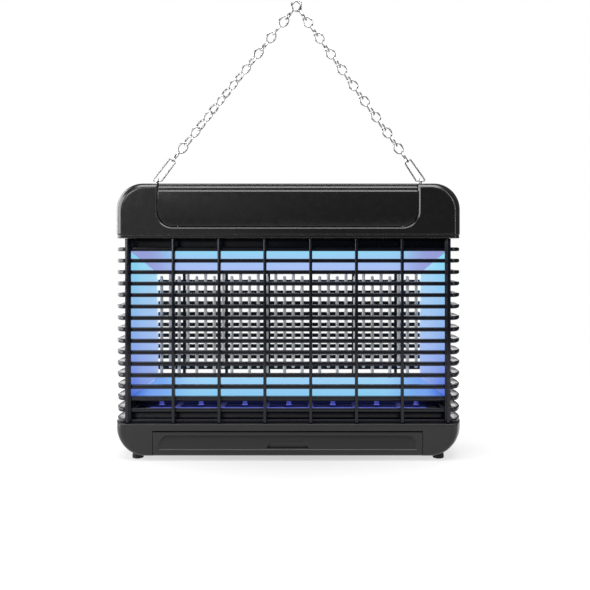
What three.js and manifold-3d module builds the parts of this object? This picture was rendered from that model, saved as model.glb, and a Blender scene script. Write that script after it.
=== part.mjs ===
// Hanging electric bug zapper with UV light panels and a high-voltage rod grid.
// Millimetres, +X right, -Y front, +Z up. The origin is on the floor under the middle of the unit.
import * as THREE from "three";
import { mergeVertices } from "three/addons/utils/BufferGeometryUtils.js";
import Module from "manifold-3d";

const wasm = await Module();
wasm.setup();

// ---------- driving dimensions ----------
const HALF_WIDTH = 193; // at the parting line, y = 0
const HALF_DEPTH = 45;
const TOP_Z = 304.5; // crown of the top housing
const FIT = 0.3; // clearance between neighbouring pieces
const WALL = 2.6;
const FACE_FILLET = 4.5; // round edge of the front and rear faces
const SIDE_CROWN = 9; // how far the sides fall in from the parting line to a face
const TOP_CROWN = 4;
const BOTTOM_CROWN = 2.5;
const BEYOND = 60; // cutting tools reach at least this far from the middle plane, past both faces

const HOUSING_LOW = 246.4;
const HOUSING_CORNER = 29;
const FLOOR_LOW = 242.4; // underside of the plate that closes the top housing
const BASE_LOW = 3;
const BASE_HIGH = 40;
const BASE_CORNER = 30;
const FOOT_X = 166;
const FOOT_Y = 28;
const FOOT_RADIUS = 6.2;

const COVER_HALF = 142; // saddle cover over the middle of the top housing
const COVER_LOW = 255;
const COVER_CORNER = 17;
const COVER_RECESS = 1;
const COVER_SHEET = 2.4;

const FIN_COUNT = 16;
const FIN_FIRST_Z = 230.3; // middle of the highest fin
const FIN_PITCH = 12.6;
const FIN_THICK = 4;
const FIN_FRONT = 36;
const FIN_BACK = 29;
const FIN_INNER_X = 181.3;
const FIN_CROWN = 9; // how far a fin's sides fall in towards its front
const FIN_ROUND = 6;
const RIB_PITCH = 50;
const RIB_COUNT = 8;
const RIB_WIDTH = 3.4;
const RIB_FRONT = 42;
const POST_WIDTH = 6.4; // strips behind the two outermost ribs
const POST_FRONT = 39;

const FRAME_HALF_X = 178; // lamp frame
const FRAME_HALF_Y = 28;
const FRAME_LOW = 62.3;
const FRAME_WALL = 2.5;
const PANEL_TOP = 228.4; // outer edge of the light panels
const PANEL_THICK = 2;
const OPENING_HALF = 149.6; // inner edge of the light panels
const OPENING_LOW = 84.3;
const OPENING_HIGH = 203.4;
const OPENING_Y = 4.2;
const LEG_SPOTS = [-145, -100, -50, 0, 50, 100, 145];

const ROD_PITCH = 10;
const ROD_COUNT = 30;
const ROD_RADIUS = 1.8;
const SPINE_HALF = 2;
const SPINE_REACH = 148;
const INSULATOR_REACH = 152;
const INSULATOR_HALF_DEPTH = 5;
const HANGER_X = 140; // feet and hangers of the insulators
const UPPER_SPINE_Z = 215;
const LOWER_SPINE_Z = 73;
const UPPER_ROD_END = 95;
const LOWER_ROD_END = 200;

const DECK_TOP = 53;
const DECK_THICK = 3;
const DECK_HALF_X = 175;
const BAY_COUNT = 7;
const SLOT_HALF_LENGTH = 22;
const DROP_WELL_HALF = 165; // opening under the deck, through which insects fall into the drawer
const TRAY_HALF = 146.5; // drawer front
const TRAY_TOP = 32.3;
const TRAY_FACE_THICK = 5.5;
const TRAY_BACK = 35;
const TRAY_LOW = 9.3;
const BIN_HALF = 141;
const BIN_WALL = 2;
const RECESS_DEPTH = 3; // finger recess in the drawer front

const EYE_X = 150; // hanging gear
const PIVOT_Z = 307.6;
const WIRE_RADIUS = 0.9;
const BAIL_OUT = 157.4;
const BAIL_IN = 144.4;
const BAIL_TOPS = [new THREE.Vector3(-131.7, 0, 332.6), new THREE.Vector3(134.5, 0, 331.7)];
const BAIL_TOP_HALF = 4.6;
const APEX = new THREE.Vector3(8.5, 0, 507.6);
const LINKS_PER_SIDE = 10;
const LINK_HALF = 12.75; // centre of a link to the middle of the wire at its end
const LOOP_HALF_WIDTH = 4.75;
const LINK_WIRE = 1;
const HOOK_GAP = 1.15; // the two top loops hang side by side, this far off the middle plane
const TWISTS = [58, 10]; // most twist of the left and right runs of chain, in degrees

// ---------- solids ----------

// A closed three.js geometry as a manifold-3d solid.
function solid(geometry) {
  const bare = geometry.clone();
  bare.deleteAttribute("normal");
  bare.deleteAttribute("uv");
  const merged = mergeVertices(bare, 1e-4);
  const vertProperties = new Float32Array(merged.attributes.position.array);
  const triVerts = new Uint32Array(merged.index.array);
  return new wasm.Manifold(new wasm.Mesh({ numProp: 3, vertProperties, triVerts }));
}

// A solid's surface as a flat-shaded geometry.
function surface(made) {
  const mesh = made.getMesh();
  const geometry = new THREE.BufferGeometry();
  geometry.setAttribute("position", new THREE.BufferAttribute(mesh.vertProperties, 3));
  geometry.setIndex(new THREE.BufferAttribute(mesh.triVerts, 1));
  const flat = geometry.toNonIndexed();
  flat.computeVertexNormals();
  return flat;
}

const join = (pieces) => pieces.reduce((sum, piece) => sum.add(piece));
const cut = (body, tools) => tools.reduce((left, tool) => left.subtract(tool), body);

function box(x0, x1, y0, y1, z0, z1) {
  const geometry = new THREE.BoxGeometry(x1 - x0, y1 - y0, z1 - z0);
  geometry.translate((x0 + x1) / 2, (y0 + y1) / 2, (z0 + z1) / 2);
  return solid(geometry);
}

// A round bar from one point to another.
function bar(from, to, radius, sides) {
  const along = new THREE.Vector3().subVectors(to, from);
  const geometry = new THREE.CylinderGeometry(radius, radius, along.length(), sides);
  const up = new THREE.Vector3(0, 1, 0);
  geometry.applyQuaternion(new THREE.Quaternion().setFromUnitVectors(up, along.clone().normalize()));
  geometry.translate(...along.multiplyScalar(0.5).add(from).toArray());
  return solid(geometry);
}

const upright = (x, y, z0, z1, radius, sides) =>
  bar(new THREE.Vector3(x, y, z0), new THREE.Vector3(x, y, z1), radius, sides);

const alongDepth = (x, z, y0, y1, radius, sides) =>
  bar(new THREE.Vector3(x, y0, z), new THREE.Vector3(x, y1, z), radius, sides);

// A lathe profile of [radius, height] pairs turned about an upright axis.
function turned(profile, x, y, sides) {
  const points = profile.map(([radius, height]) => new THREE.Vector2(radius, height));
  const geometry = new THREE.LatheGeometry(points, sides);
  geometry.rotateX(Math.PI / 2);
  geometry.translate(x, y, 0);
  return geometry;
}

// Closed loops with the same number of points, skinned into a solid. Each loop is convex.
function loft(loops) {
  const count = loops[0].length;
  const position = loops.flat().flatMap((point) => point.toArray());
  const index = [];
  for (let ring = 0; ring + 1 < loops.length; ring++)
    for (let i = 0; i < count; i++) {
      const a = ring * count + i;
      const b = ring * count + ((i + 1) % count);
      index.push(a, b, b + count, a, b + count, a + count);
    }
  const last = (loops.length - 1) * count;
  for (let i = 1; i + 1 < count; i++) {
    index.push(0, i + 1, i);
    index.push(last, last + i, last + i + 1);
  }
  const geometry = new THREE.BufferGeometry();
  geometry.setAttribute("position", new THREE.Float32BufferAttribute(position, 3));
  geometry.setIndex(index);
  const made = solid(geometry);
  if (made.volume() > 0) return made;
  return solid(mirroredWinding(geometry));
}

function mirroredWinding(geometry) {
  const turnedIndex = Array.from(geometry.index.array);
  for (let i = 0; i < turnedIndex.length; i += 3)
    [turnedIndex[i], turnedIndex[i + 1]] = [turnedIndex[i + 1], turnedIndex[i]];
  const copy = geometry.clone();
  copy.setIndex(turnedIndex);
  return copy;
}

// An outline of [x, y] pairs extruded upwards from z0 to z1.
function plate(outline, z0, z1) {
  const shape = new THREE.Shape(outline.map(([x, y]) => new THREE.Vector2(x, y)));
  const geometry = new THREE.ExtrudeGeometry(shape, { depth: z1 - z0, bevelEnabled: false });
  geometry.translate(0, 0, z0);
  return solid(geometry);
}

// An outline of [x, z] pairs extruded from y0 to y1.
function wallPlate(outline, y0, y1) {
  const shape = new THREE.Shape(outline.map(([x, z]) => new THREE.Vector2(x, z)));
  const geometry = new THREE.ExtrudeGeometry(shape, { depth: y1 - y0, bevelEnabled: false });
  geometry.rotateX(Math.PI / 2);
  geometry.translate(0, y1, 0);
  return solid(geometry);
}

// An outline of [y, z] pairs extruded from -halfX to halfX.
function longBar(outline, halfX) {
  const shape = new THREE.Shape(outline.map(([y, z]) => new THREE.Vector2(y, z)));
  const geometry = new THREE.ExtrudeGeometry(shape, { depth: 2 * halfX, bevelEnabled: false });
  geometry.translate(0, 0, -halfX);
  const axes = new THREE.Matrix4().makeBasis(
    new THREE.Vector3(0, 1, 0),
    new THREE.Vector3(0, 0, 1),
    new THREE.Vector3(1, 0, 0),
  );
  geometry.applyMatrix4(axes);
  return solid(geometry);
}

const mirrorX = (made) => solid(mirrored(surface(made), -1, 1));
const mirrorY = (made) => solid(mirrored(surface(made), 1, -1));

function mirrored(geometry, sx, sy) {
  const copy = mergeVertices(stripped(geometry), 1e-4);
  copy.scale(sx, sy, 1);
  return mirroredWinding(copy);
}

function stripped(geometry) {
  const bare = geometry.clone();
  bare.deleteAttribute("normal");
  return bare;
}

// ---------- materials ----------
const paint = (color, roughness, metalness = 0) =>
  new THREE.MeshStandardMaterial({ color, roughness, metalness });
const BLACK_ABS = paint(0x242425, 0.42);
const BASE_ABS = paint(0x3a3a3c, 0.45);
const DIFFUSER = paint(0xbfe4ff, 0.35);
const STEEL = paint(0xc9cbcc, 0.3, 1);
const CHROME = paint(0xdedfe0, 0.12, 1);
const RUBBER = paint(0x17171a, 0.85);
const INSULATOR = paint(0xe8e4da, 0.5);
const BOARD = paint(0x1d5a34, 0.55);
const FERRITE = paint(0x2c2c30, 0.6);

const unit = new THREE.Group();

function add(name, made, material) {
  const mesh = new THREE.Mesh(surface(made), material);
  mesh.name = name;
  unit.add(mesh);
}

// ---------- housing shape ----------

// [x, z] points on a circle, from the first angle to the last.
function arc(cx, cz, radius, from, to, steps) {
  const points = [];
  for (let i = 0; i <= steps; i++) {
    const angle = from + ((to - from) * i) / steps;
    points.push([cx + radius * Math.cos(angle), cz + radius * Math.sin(angle)]);
  }
  return points;
}

// A box section with rounded low and high corners, as [x, z] pairs.
function roundedSection(halfX, low, high, lowRadius, highRadius, lowSteps, highSteps) {
  const quarter = Math.PI / 2;
  return [
    ...arc(halfX - highRadius, high - highRadius, highRadius, 0, quarter, highSteps),
    ...arc(highRadius - halfX, high - highRadius, highRadius, quarter, 2 * quarter, highSteps),
    ...arc(lowRadius - halfX, low + lowRadius, lowRadius, 2 * quarter, 3 * quarter, lowSteps),
    ...arc(halfX - lowRadius, low + lowRadius, lowRadius, 3 * quarter, 4 * quarter, lowSteps),
  ];
}

// Depth stations from the parting line to a face, with the inset of the face's round edge at each.
function stations(depth, fillet) {
  const flat = [0, 0.4, 0.7].map((share) => [share * depth, 0]);
  const round = [0, 45, 90].map((degrees) => {
    const angle = THREE.MathUtils.degToRad(degrees);
    return [depth - fillet + fillet * Math.sin(angle), fillet * (1 - Math.cos(angle))];
  });
  return [...flat, ...round];
}

// The same for the inside of a shell, which is plain.
function innerStations(depth, fillet) {
  return [
    [0, 0],
    [depth / 2, 0],
    [depth, fillet / 2],
  ];
}

function bothWays(list) {
  const rear = list.slice(1);
  return [...rear.map(([y, inset]) => [-y, inset]).reverse(), ...list];
}

// A block whose sides are crowned from face to face. It is made from its sections, which are given
// by half width, share of the crown and inset. Its inside is the same block, a wall smaller.
function crownedBlock(wall, section) {
  const stops = wall > 0 ? innerStations : stations;
  const loops = bothWays(stops(HALF_DEPTH - wall, FACE_FILLET)).map(([y, inset]) => {
    const share = (y / HALF_DEPTH) ** 2;
    const halfX = HALF_WIDTH - wall - SIDE_CROWN * share - inset;
    return section(halfX, share, inset).map(([x, z]) => new THREE.Vector3(x, y, z));
  });
  return loft(loops);
}

const cornerSteps = (wall) => (wall > 0 ? 4 : 7);
const EDGE_RADIUS = 1.2; // small round where a shell ends

// The inside of the housing is open at the bottom.
function housingBlock(wall) {
  const low = wall > 0 ? HOUSING_LOW - 5 : HOUSING_LOW;
  return crownedBlock(wall, (halfX, share, inset) => {
    const high = TOP_Z - wall - TOP_CROWN * share - inset;
    return roundedSection(halfX, low, high, EDGE_RADIUS, HOUSING_CORNER - wall, 1, cornerSteps(wall));
  });
}

function baseBlock(wall) {
  const high = BASE_HIGH - wall;
  return crownedBlock(wall, (halfX, share, inset) => {
    const low = BASE_LOW + wall + BOTTOM_CROWN * share + inset;
    return roundedSection(halfX, low, high, BASE_CORNER - wall, EDGE_RADIUS, cornerSteps(wall), 1);
  });
}

// ---------- top housing ----------
const coverOutline = (grow) =>
  roundedSection(COVER_HALF + grow, COVER_LOW - grow, TOP_Z + 20, COVER_CORNER + grow, 0.5, 6, 1);

// Front or rear of a shell, as a tool that takes away everything past the parting line.
const behind = () => box(-250, 250, -FIT / 2, BEYOND, 200, 350);
const ahead = () => mirrorY(behind());

const EYE_HALF_THICK = 1;
const EYE_SEAT_HALF = 5; // half the width of the eye's head
const EYE_LOW = 292;

function housingShell() {
  const shell = cut(housingBlock(0), [housingBlock(WALL), wallPlate(coverOutline(0), -BEYOND, BEYOND)]);
  const slotHalf = EYE_HALF_THICK + 0.35;
  const slotReach = EYE_SEAT_HALF + 0.4;
  const eyeSlots = [-EYE_X, EYE_X].map((x) =>
    box(x - slotHalf, x + slotHalf, -slotReach, slotReach, EYE_LOW - 2, TOP_Z + 15),
  );
  return cut(shell, eyeSlots);
}

// Screw bosses on the front shell take the screws that come in through the rear shell.
const SCREW_SPOTS = [-168, 168];
const SCREW_Z = 256.5;
const SCREW_SIDES = 12;
const SCREW_SEAT_Y = 39.5;

function topHousing() {
  const shell = housingShell();
  const bossEnd = 12;
  const front = join([
    cut(shell, [behind()]),
    ...SCREW_SPOTS.map((x) => alongDepth(x, SCREW_Z, -HALF_DEPTH + 1, bossEnd, 4, SCREW_SIDES)),
  ]);
  const pilot = SCREW_SPOTS.map((x) => alongDepth(x, SCREW_Z, -20, BEYOND, 1.9, SCREW_SIDES));
  add("top_housing_front", cut(front, pilot), BLACK_ABS);

  const rear = join([
    cut(shell, [ahead()]),
    ...SCREW_SPOTS.map((x) => alongDepth(x, SCREW_Z, bossEnd + FIT, HALF_DEPTH - 1, 5.5, SCREW_SIDES)),
  ]);
  const bores = SCREW_SPOTS.flatMap((x) => [
    alongDepth(x, SCREW_Z, 0, BEYOND, 2.2, SCREW_SIDES),
    alongDepth(x, SCREW_Z, SCREW_SEAT_Y, BEYOND, 4, 16),
  ]);
  add("top_housing_rear", cut(rear, [...bores, glandHole()]), BLACK_ABS);
}

function housingScrews() {
  const under = SCREW_SEAT_Y + 0.6;
  const top = under + 2.5;
  const crossArm = 2.2;
  const crossHalf = 0.5;
  SCREW_SPOTS.forEach((x) => {
    const head = alongDepth(x, SCREW_Z, under, top, 3.5, 16);
    const shank = alongDepth(x, SCREW_Z, -8, under + 0.4, 1.6, 10);
    const slots = [
      [crossArm, crossHalf],
      [crossHalf, crossArm],
    ].map(([a, b]) => box(x - a, x + a, top - 1.2, BEYOND, SCREW_Z - b, SCREW_Z + b));
    const side = x < 0 ? "left" : "right";
    add(`housing_screw_${side}`, cut(join([head, shank]), slots), STEEL);
  });
}

// Front half of the saddle cover's profile, as [y, z] pairs, from its low edge to the crown.
function coverProfile(shrink) {
  const face = HALF_DEPTH - COVER_RECESS - shrink;
  return [
    [-face, COVER_LOW - 10],
    [-face, 292.5 - shrink],
    [1.4 - face, 294.6 - shrink],
    [1.9 - face, 297 - shrink],
    [3.1 - face, 299.1 - shrink],
    [5.4 - face, 300.4 - shrink],
    [-27, 302.3 - shrink],
    [-13, 303.7 - shrink],
    [0, 304.2 - shrink],
  ];
}

function saddle(shrink) {
  const front = coverProfile(shrink);
  const rear = front.slice(0, -1).map(([y, z]) => [-y, z]).reverse();
  return longBar([...front, ...rear], COVER_HALF + 20);
}

function topCover() {
  const block = saddle(0).intersect(wallPlate(coverOutline(-FIT), -BEYOND, BEYOND));
  const hollow = cut(block, [saddle(COVER_SHEET)]);
  const tabFace = HALF_DEPTH - WALL - 0.4;
  const tabThick = 2.2;
  const tabLow = COVER_LOW - 6;
  const tabHigh = COVER_LOW + 9;
  const tabs = [-100, 0, 100].flatMap((x) => [
    box(x - 8, x + 8, -tabFace, -tabFace + tabThick, tabLow, tabHigh),
    box(x - 8, x + 8, tabFace - tabThick, tabFace, tabLow, tabHigh),
  ]);
  add("top_cover", join([hollow, ...tabs]), BLACK_ABS);
}

// The plate that closes the top housing from below and carries the driver board.
const BOARD_SPOTS = [[-46, -16], [-46, 16], [46, -16], [46, 16]];
const BOARD_SEAT = 252;
const LEAD_X = 120; // the leads from the driver run down here
const LEAD_HALF = 6;

// Plan outline of the housing, a little smaller, as [x, y] pairs.
function floorOutline() {
  const inset = 0.6;
  const right = bothWays(stations(HALF_DEPTH - inset, FACE_FILLET)).map(([y, round]) => [
    HALF_WIDTH - inset - SIDE_CROWN * (y / HALF_DEPTH) ** 2 - round,
    y,
  ]);
  const left = right.map(([x, y]) => [-x, y]).reverse();
  return [...right, ...left];
}

function housingFloor() {
  const slab = plate(floorOutline(), FLOOR_LOW, HOUSING_LOW - FIT);
  const pillars = BOARD_SPOTS.map(([x, y]) => upright(x, y, HOUSING_LOW - 1, BOARD_SEAT, 3, 10));
  const leadSlots = [-LEAD_X, LEAD_X].map((x) =>
    box(x - LEAD_HALF, x + LEAD_HALF, -4, 4, FLOOR_LOW - 1, HOUSING_LOW + 1),
  );
  add("housing_floor", cut(join([slab, ...pillars]), leadSlots), BLACK_ABS);
}

// ---------- electronics in the top housing ----------
function electronics() {
  const board = BOARD_SEAT + FIT;
  const boardThick = 1.6;
  add("driver_board", box(-56, 56, -24, 24, board, board + boardThick), BOARD);
  const seat = board + boardThick + FIT;
  const core = box(-34, -6, -12, 12, seat, seat + 20);
  const bobbin = box(-30, -10, -16, 16, seat + 4, seat + 16);
  add("high_voltage_transformer", join([core, bobbin]), FERRITE);
  const canRadius = 6;
  const canZ = seat + canRadius + 0.5;
  const can = bar(new THREE.Vector3(10, 0, canZ), new THREE.Vector3(40, 0, canZ), canRadius, 16);
  add("storage_capacitor", can, INSULATOR);
}

// The cord's gland sits in a pocket of the rear shell. No cord is fitted.
const GLAND_X = 162;
const GLAND_Z = 277;
const GLAND_RADIUS = 6;
const FLANGE_RADIUS = 8.5;

const glandHole = () => alongDepth(GLAND_X, GLAND_Z, 30, BEYOND, GLAND_RADIUS + FIT, 16);

function cordGland() {
  const inside = HALF_DEPTH - WALL - 0.6;
  const barrel = alongDepth(GLAND_X, GLAND_Z, 36, HALF_DEPTH - 0.2, GLAND_RADIUS, 16);
  const flange = alongDepth(GLAND_X, GLAND_Z, inside - 3.8, inside, FLANGE_RADIUS, 16);
  const bore = alongDepth(GLAND_X, GLAND_Z, 30, BEYOND, 3.4, 12);
  add("cord_gland", cut(join([barrel, flange]), [bore]), RUBBER);
}

// ---------- base, deck and drawer ----------
const TRAY_BEHIND = -HALF_DEPTH + TRAY_FACE_THICK; // back of the drawer front
const WELL_HALF_Y = FRAME_HALF_Y - WALL;
const FOOT_TOP = 5.5;

function baseHousing() {
  const mouthHalf = TRAY_HALF + FIT;
  const mouthTop = TRAY_TOP + FIT;
  const plinthTop = DECK_TOP - DECK_THICK - FIT;
  const drawerMouth = box(-mouthHalf, mouthHalf, -BEYOND, TRAY_BEHIND + FIT, -5, mouthTop);
  const throat = box(-mouthHalf, mouthHalf, -41, 0, TRAY_LOW - 0.6, mouthTop);
  const dropWell = box(-DROP_WELL_HALF, DROP_WELL_HALF, -WELL_HALF_Y, WELL_HALF_Y, BASE_HIGH - 10, 60);
  const plinth = box(-DECK_HALF_X, DECK_HALF_X, -FRAME_HALF_Y, FRAME_HALF_Y, BASE_HIGH - 1, plinthTop);
  const seats = footSpots().map(([x, y]) => upright(x, y, 0, FOOT_TOP + FIT, FOOT_RADIUS + FIT, 20));
  const bosses = footSpots().map(([x, y]) => upright(x, y, 5, 8.5, FOOT_RADIUS + 2.2, 20));
  const shell = join([cut(baseBlock(0), [baseBlock(WALL)]), plinth, ...bosses]);
  add("base_housing", cut(shell, [drawerMouth, throat, dropWell, ...seats]), BASE_ABS);
}

function footSpots() {
  return [-FOOT_X, FOOT_X].flatMap((x) => [-FOOT_Y, FOOT_Y].map((y) => [x, y]));
}

function feet() {
  footSpots().forEach(([x, y]) => {
    const profile = [
      [0, 0],
      [FOOT_RADIUS - 1, 0],
      [FOOT_RADIUS, 1],
      [FOOT_RADIUS, FOOT_TOP],
      [0, FOOT_TOP],
    ];
    const side = x < 0 ? "left" : "right";
    const end = y < 0 ? "front" : "rear";
    add(`foot_${end}_${side}`, solid(turned(profile, x, y, 20)), RUBBER);
  });
}

function bottomDeck() {
  const low = DECK_TOP - DECK_THICK;
  const slab = box(-DECK_HALF_X, DECK_HALF_X, -FRAME_HALF_Y, FRAME_HALF_Y, low, DECK_TOP);
  const rows = [
    [-20.5, 3.5],
    [-8, 6.5],
    [8, 6.5],
    [20.5, 3.5],
  ];
  const slots = [];
  for (let bay = 0; bay < BAY_COUNT; bay++) {
    const x = (bay - (BAY_COUNT - 1) / 2) * RIB_PITCH;
    const from = x - SLOT_HALF_LENGTH;
    const to = x + SLOT_HALF_LENGTH;
    rows.forEach(([y, half]) => slots.push(box(from, to, y - half, y + half, low - 1, DECK_TOP + 1)));
  }
  add("bottom_deck", cut(slab, slots), BLACK_ABS);
}

function collectionTray() {
  const inFront = box(-TRAY_HALF, TRAY_HALF, -BEYOND, TRAY_BEHIND, -5, TRAY_TOP);
  const face = baseBlock(0).intersect(inFront);
  const tub = box(-BIN_HALF, BIN_HALF, TRAY_BEHIND - 1, TRAY_BACK, TRAY_LOW, TRAY_TOP - 2);
  const insideHalf = BIN_HALF - BIN_WALL;
  const floor = TRAY_LOW + BIN_WALL;
  const inside = box(-insideHalf, insideHalf, TRAY_BEHIND, TRAY_BACK - BIN_WALL, floor, TRAY_TOP + 20);
  const outline = [
    [-23, 14],
    [23, 14],
    [19, 21.5],
    [-19, 21.5],
  ];
  const fingerRecess = wallPlate(outline, -BEYOND, -HALF_DEPTH + RECESS_DEPTH);
  add("collection_tray", cut(join([face, cut(tub, [inside])]), [fingerRecess]), BASE_ABS);
}

// ---------- guards ----------

// Plan outline of one fin of the front guard: a bow that reaches the parting line at both ends.
function finOutline() {
  const outer = [0, 0.6, 0.83].map((share) => [share * FIN_FRONT, 0]);
  const corner = [45, 90].map((degrees) => {
    const angle = THREE.MathUtils.degToRad(degrees);
    return [FIN_FRONT - FIN_ROUND + FIN_ROUND * Math.sin(angle), FIN_ROUND * (1 - Math.cos(angle))];
  });
  const edge = [...outer, ...corner].map(([depth, round]) => [
    HALF_WIDTH - FIN_CROWN * (depth / FIN_FRONT) ** 2 - round,
    -Math.max(depth, FIT / 2),
  ]);
  const inner = [
    [FIN_INNER_X - 2, -FIN_BACK],
    [FIN_INNER_X, -FIN_BACK + 2],
    [FIN_INNER_X, -FIT / 2],
  ];
  const mirror = (list) => list.map(([x, y]) => [-x, y]).reverse();
  return [...edge, ...mirror(edge), ...mirror(inner), ...inner];
}

function guardSolid() {
  const outline = finOutline();
  const pieces = [];
  for (let i = 0; i < FIN_COUNT; i++) {
    const middle = FIN_FIRST_Z - i * FIN_PITCH;
    const low = Math.max(middle - FIN_THICK / 2, BASE_HIGH + FIT);
    pieces.push(plate(outline, low, middle + FIN_THICK / 2));
  }
  const strip = (x, width, front) =>
    box(x - width / 2, x + width / 2, -front, -FIN_FRONT, BASE_HIGH + FIT, FLOOR_LOW - FIT);
  const reach = ((RIB_COUNT - 1) / 2) * RIB_PITCH;
  for (let i = 0; i < RIB_COUNT; i++) pieces.push(strip(i * RIB_PITCH - reach, RIB_WIDTH, RIB_FRONT));
  pieces.push(strip(-reach, POST_WIDTH, POST_FRONT), strip(reach, POST_WIDTH, POST_FRONT));
  return join(pieces);
}

function guards() {
  const front = guardSolid();
  add("front_guard", front, BLACK_ABS);
  add("rear_guard", mirrorY(front), BLACK_ABS);
}

// ---------- lamp frame ----------
const FRAME_HIGH = FLOOR_LOW - FIT;
const FRAME_IN_X = FRAME_HALF_X - FRAME_WALL;
const FRAME_IN_Y = FRAME_HALF_Y - FRAME_WALL;
const FRAME_FLOOR = FRAME_LOW + FRAME_WALL; // inside of the frame's lower wall
const FRAME_CEILING = FRAME_HIGH - FRAME_WALL;

function lampFrame() {
  const outer = box(-FRAME_HALF_X, FRAME_HALF_X, -FRAME_HALF_Y, FRAME_HALF_Y, FRAME_LOW, FRAME_HIGH);
  const cavity = box(-FRAME_IN_X, FRAME_IN_X, -FRAME_IN_Y, FRAME_IN_Y, FRAME_FLOOR, FRAME_CEILING);
  const window = box(-FRAME_IN_X, FRAME_IN_X, -BEYOND, BEYOND, FRAME_FLOOR, PANEL_TOP + FIT);
  const sides = [-1, 1].flatMap((side) => {
    const wall = [side * FRAME_IN_X, side * FRAME_HALF_X].sort((a, b) => a - b);
    const rib = [side * (FRAME_HALF_X - 1), side * (FIN_INNER_X - FIT)].sort((a, b) => a - b);
    return [
      box(...wall, -FRAME_HALF_Y, FRAME_HALF_Y, BASE_HIGH + FIT, FRAME_LOW + 1),
      box(...rib, -14, 14, BASE_HIGH + FIT, FRAME_HIGH),
    ];
  });
  const legs = LEG_SPOTS.map((x) => upright(x, 0, DECK_TOP + FIT, FRAME_LOW + 1, 2.4, 10));
  const leadHoles = [-LEAD_X, LEAD_X].map((x) =>
    box(x - 5, x + 5, -3.5, 3.5, FRAME_HIGH - 5, FRAME_HIGH + 5),
  );
  const frame = join([cut(outer, [cavity, window]), ...sides, ...legs]);
  add("lamp_frame", cut(frame, leadHoles), BLACK_ABS);
}

// A light panel slopes from the frame's outer edge to the opening at the middle plane.
// Its four face corners are given; the back is the same face, a sheet's thickness behind.
function slopedPanel(corners) {
  const front = corners.map((corner) => new THREE.Vector3(...corner));
  const back = new THREE.Vector3(0, PANEL_THICK, 0);
  return loft([front, front.map((corner) => corner.clone().add(back))]);
}

const PANEL_OUT_X = FRAME_IN_X - FIT;
const PANEL_LOW = FRAME_FLOOR + FIT;
const PANEL_OUT_Y = -FRAME_HALF_Y + 0.8;
const PANEL_MITRE = 0.25; // half the joint between two panels

function sidePanel() {
  const panel = slopedPanel([
    [-PANEL_OUT_X, PANEL_OUT_Y, PANEL_LOW + PANEL_MITRE],
    [-OPENING_HALF, -OPENING_Y, OPENING_LOW + PANEL_MITRE],
    [-OPENING_HALF, -OPENING_Y, OPENING_HIGH - PANEL_MITRE],
    [-PANEL_OUT_X, PANEL_OUT_Y, PANEL_TOP - PANEL_MITRE],
  ]);
  const lipY = 0.5 - OPENING_Y;
  const lip = box(-OPENING_HALF - 2, -OPENING_HALF, lipY, -FIT / 2, OPENING_LOW + 2, OPENING_HIGH - 2);
  return panel.add(lip);
}

function levelPanel(outerZ, innerZ) {
  return slopedPanel([
    [PANEL_MITRE - PANEL_OUT_X, PANEL_OUT_Y, outerZ],
    [PANEL_MITRE - OPENING_HALF, -OPENING_Y, innerZ],
    [OPENING_HALF - PANEL_MITRE, -OPENING_Y, innerZ],
    [PANEL_OUT_X - PANEL_MITRE, PANEL_OUT_Y, outerZ],
  ]);
}

function diffusers() {
  const left = sidePanel();
  const panels = {
    left,
    right: mirrorX(left),
    top: levelPanel(PANEL_TOP, OPENING_HIGH),
    bottom: levelPanel(PANEL_LOW, OPENING_LOW),
  };
  Object.entries(panels).forEach(([place, panel]) => {
    add(`front_diffuser_${place}`, panel, DIFFUSER);
    add(`rear_diffuser_${place}`, mirrorY(panel), DIFFUSER);
  });
}

// Boards of UV LEDs on the walls of the lamp frame, shining inwards through the panels.
function ledBoards() {
  const thick = 1.6;
  const side = box(-PANEL_OUT_X, thick - PANEL_OUT_X, -7, 7, 74, 219);
  const ceiling = FRAME_CEILING - FIT;
  add("led_board_left", side, INSULATOR);
  add("led_board_right", mirrorX(side), INSULATOR);
  add("led_board_top", box(-128, 128, -15, 15, ceiling - thick, ceiling), INSULATOR);
  add("led_board_bottom", box(-128, 128, -15, 15, PANEL_LOW, PANEL_LOW + thick), INSULATOR);
}

// ---------- high-voltage grid ----------

// A comb: every second rod of the grid on one spine. The rods' free ends are pointed round.
function comb(spineZ, endZ, first) {
  const toEnd = Math.sign(endZ - spineZ);
  const low = spineZ - SPINE_HALF;
  const pieces = [box(-SPINE_REACH, SPINE_REACH, -SPINE_HALF, SPINE_HALF, low, low + 2 * SPINE_HALF)];
  for (let k = first; k < ROD_COUNT; k += 2) {
    const x = (k - (ROD_COUNT - 1) / 2) * ROD_PITCH;
    const profile = [
      [0, spineZ],
      [ROD_RADIUS, spineZ],
      [ROD_RADIUS, endZ - toEnd * ROD_RADIUS],
      [0, endZ],
    ];
    pieces.push(solid(turned(toEnd > 0 ? profile : profile.reverse(), x, 0, 6)));
  }
  return join(pieces);
}

// A grooved bar that holds a spine, from one height to another, with the groove between two others.
function insulatorBar(low, high, grooveLow, grooveHigh) {
  const half = INSULATOR_HALF_DEPTH;
  const groove = SPINE_HALF + FIT;
  const grooveReach = SPINE_REACH + 1;
  return cut(box(-INSULATOR_REACH, INSULATOR_REACH, -half, half, low, high), [
    box(-grooveReach, grooveReach, -groove, groove, grooveLow, grooveHigh),
  ]);
}

const hangers = (low, high) =>
  [-HANGER_X, HANGER_X].map((x) => box(x - 4, x + 4, -4, 4, low, high));

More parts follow.
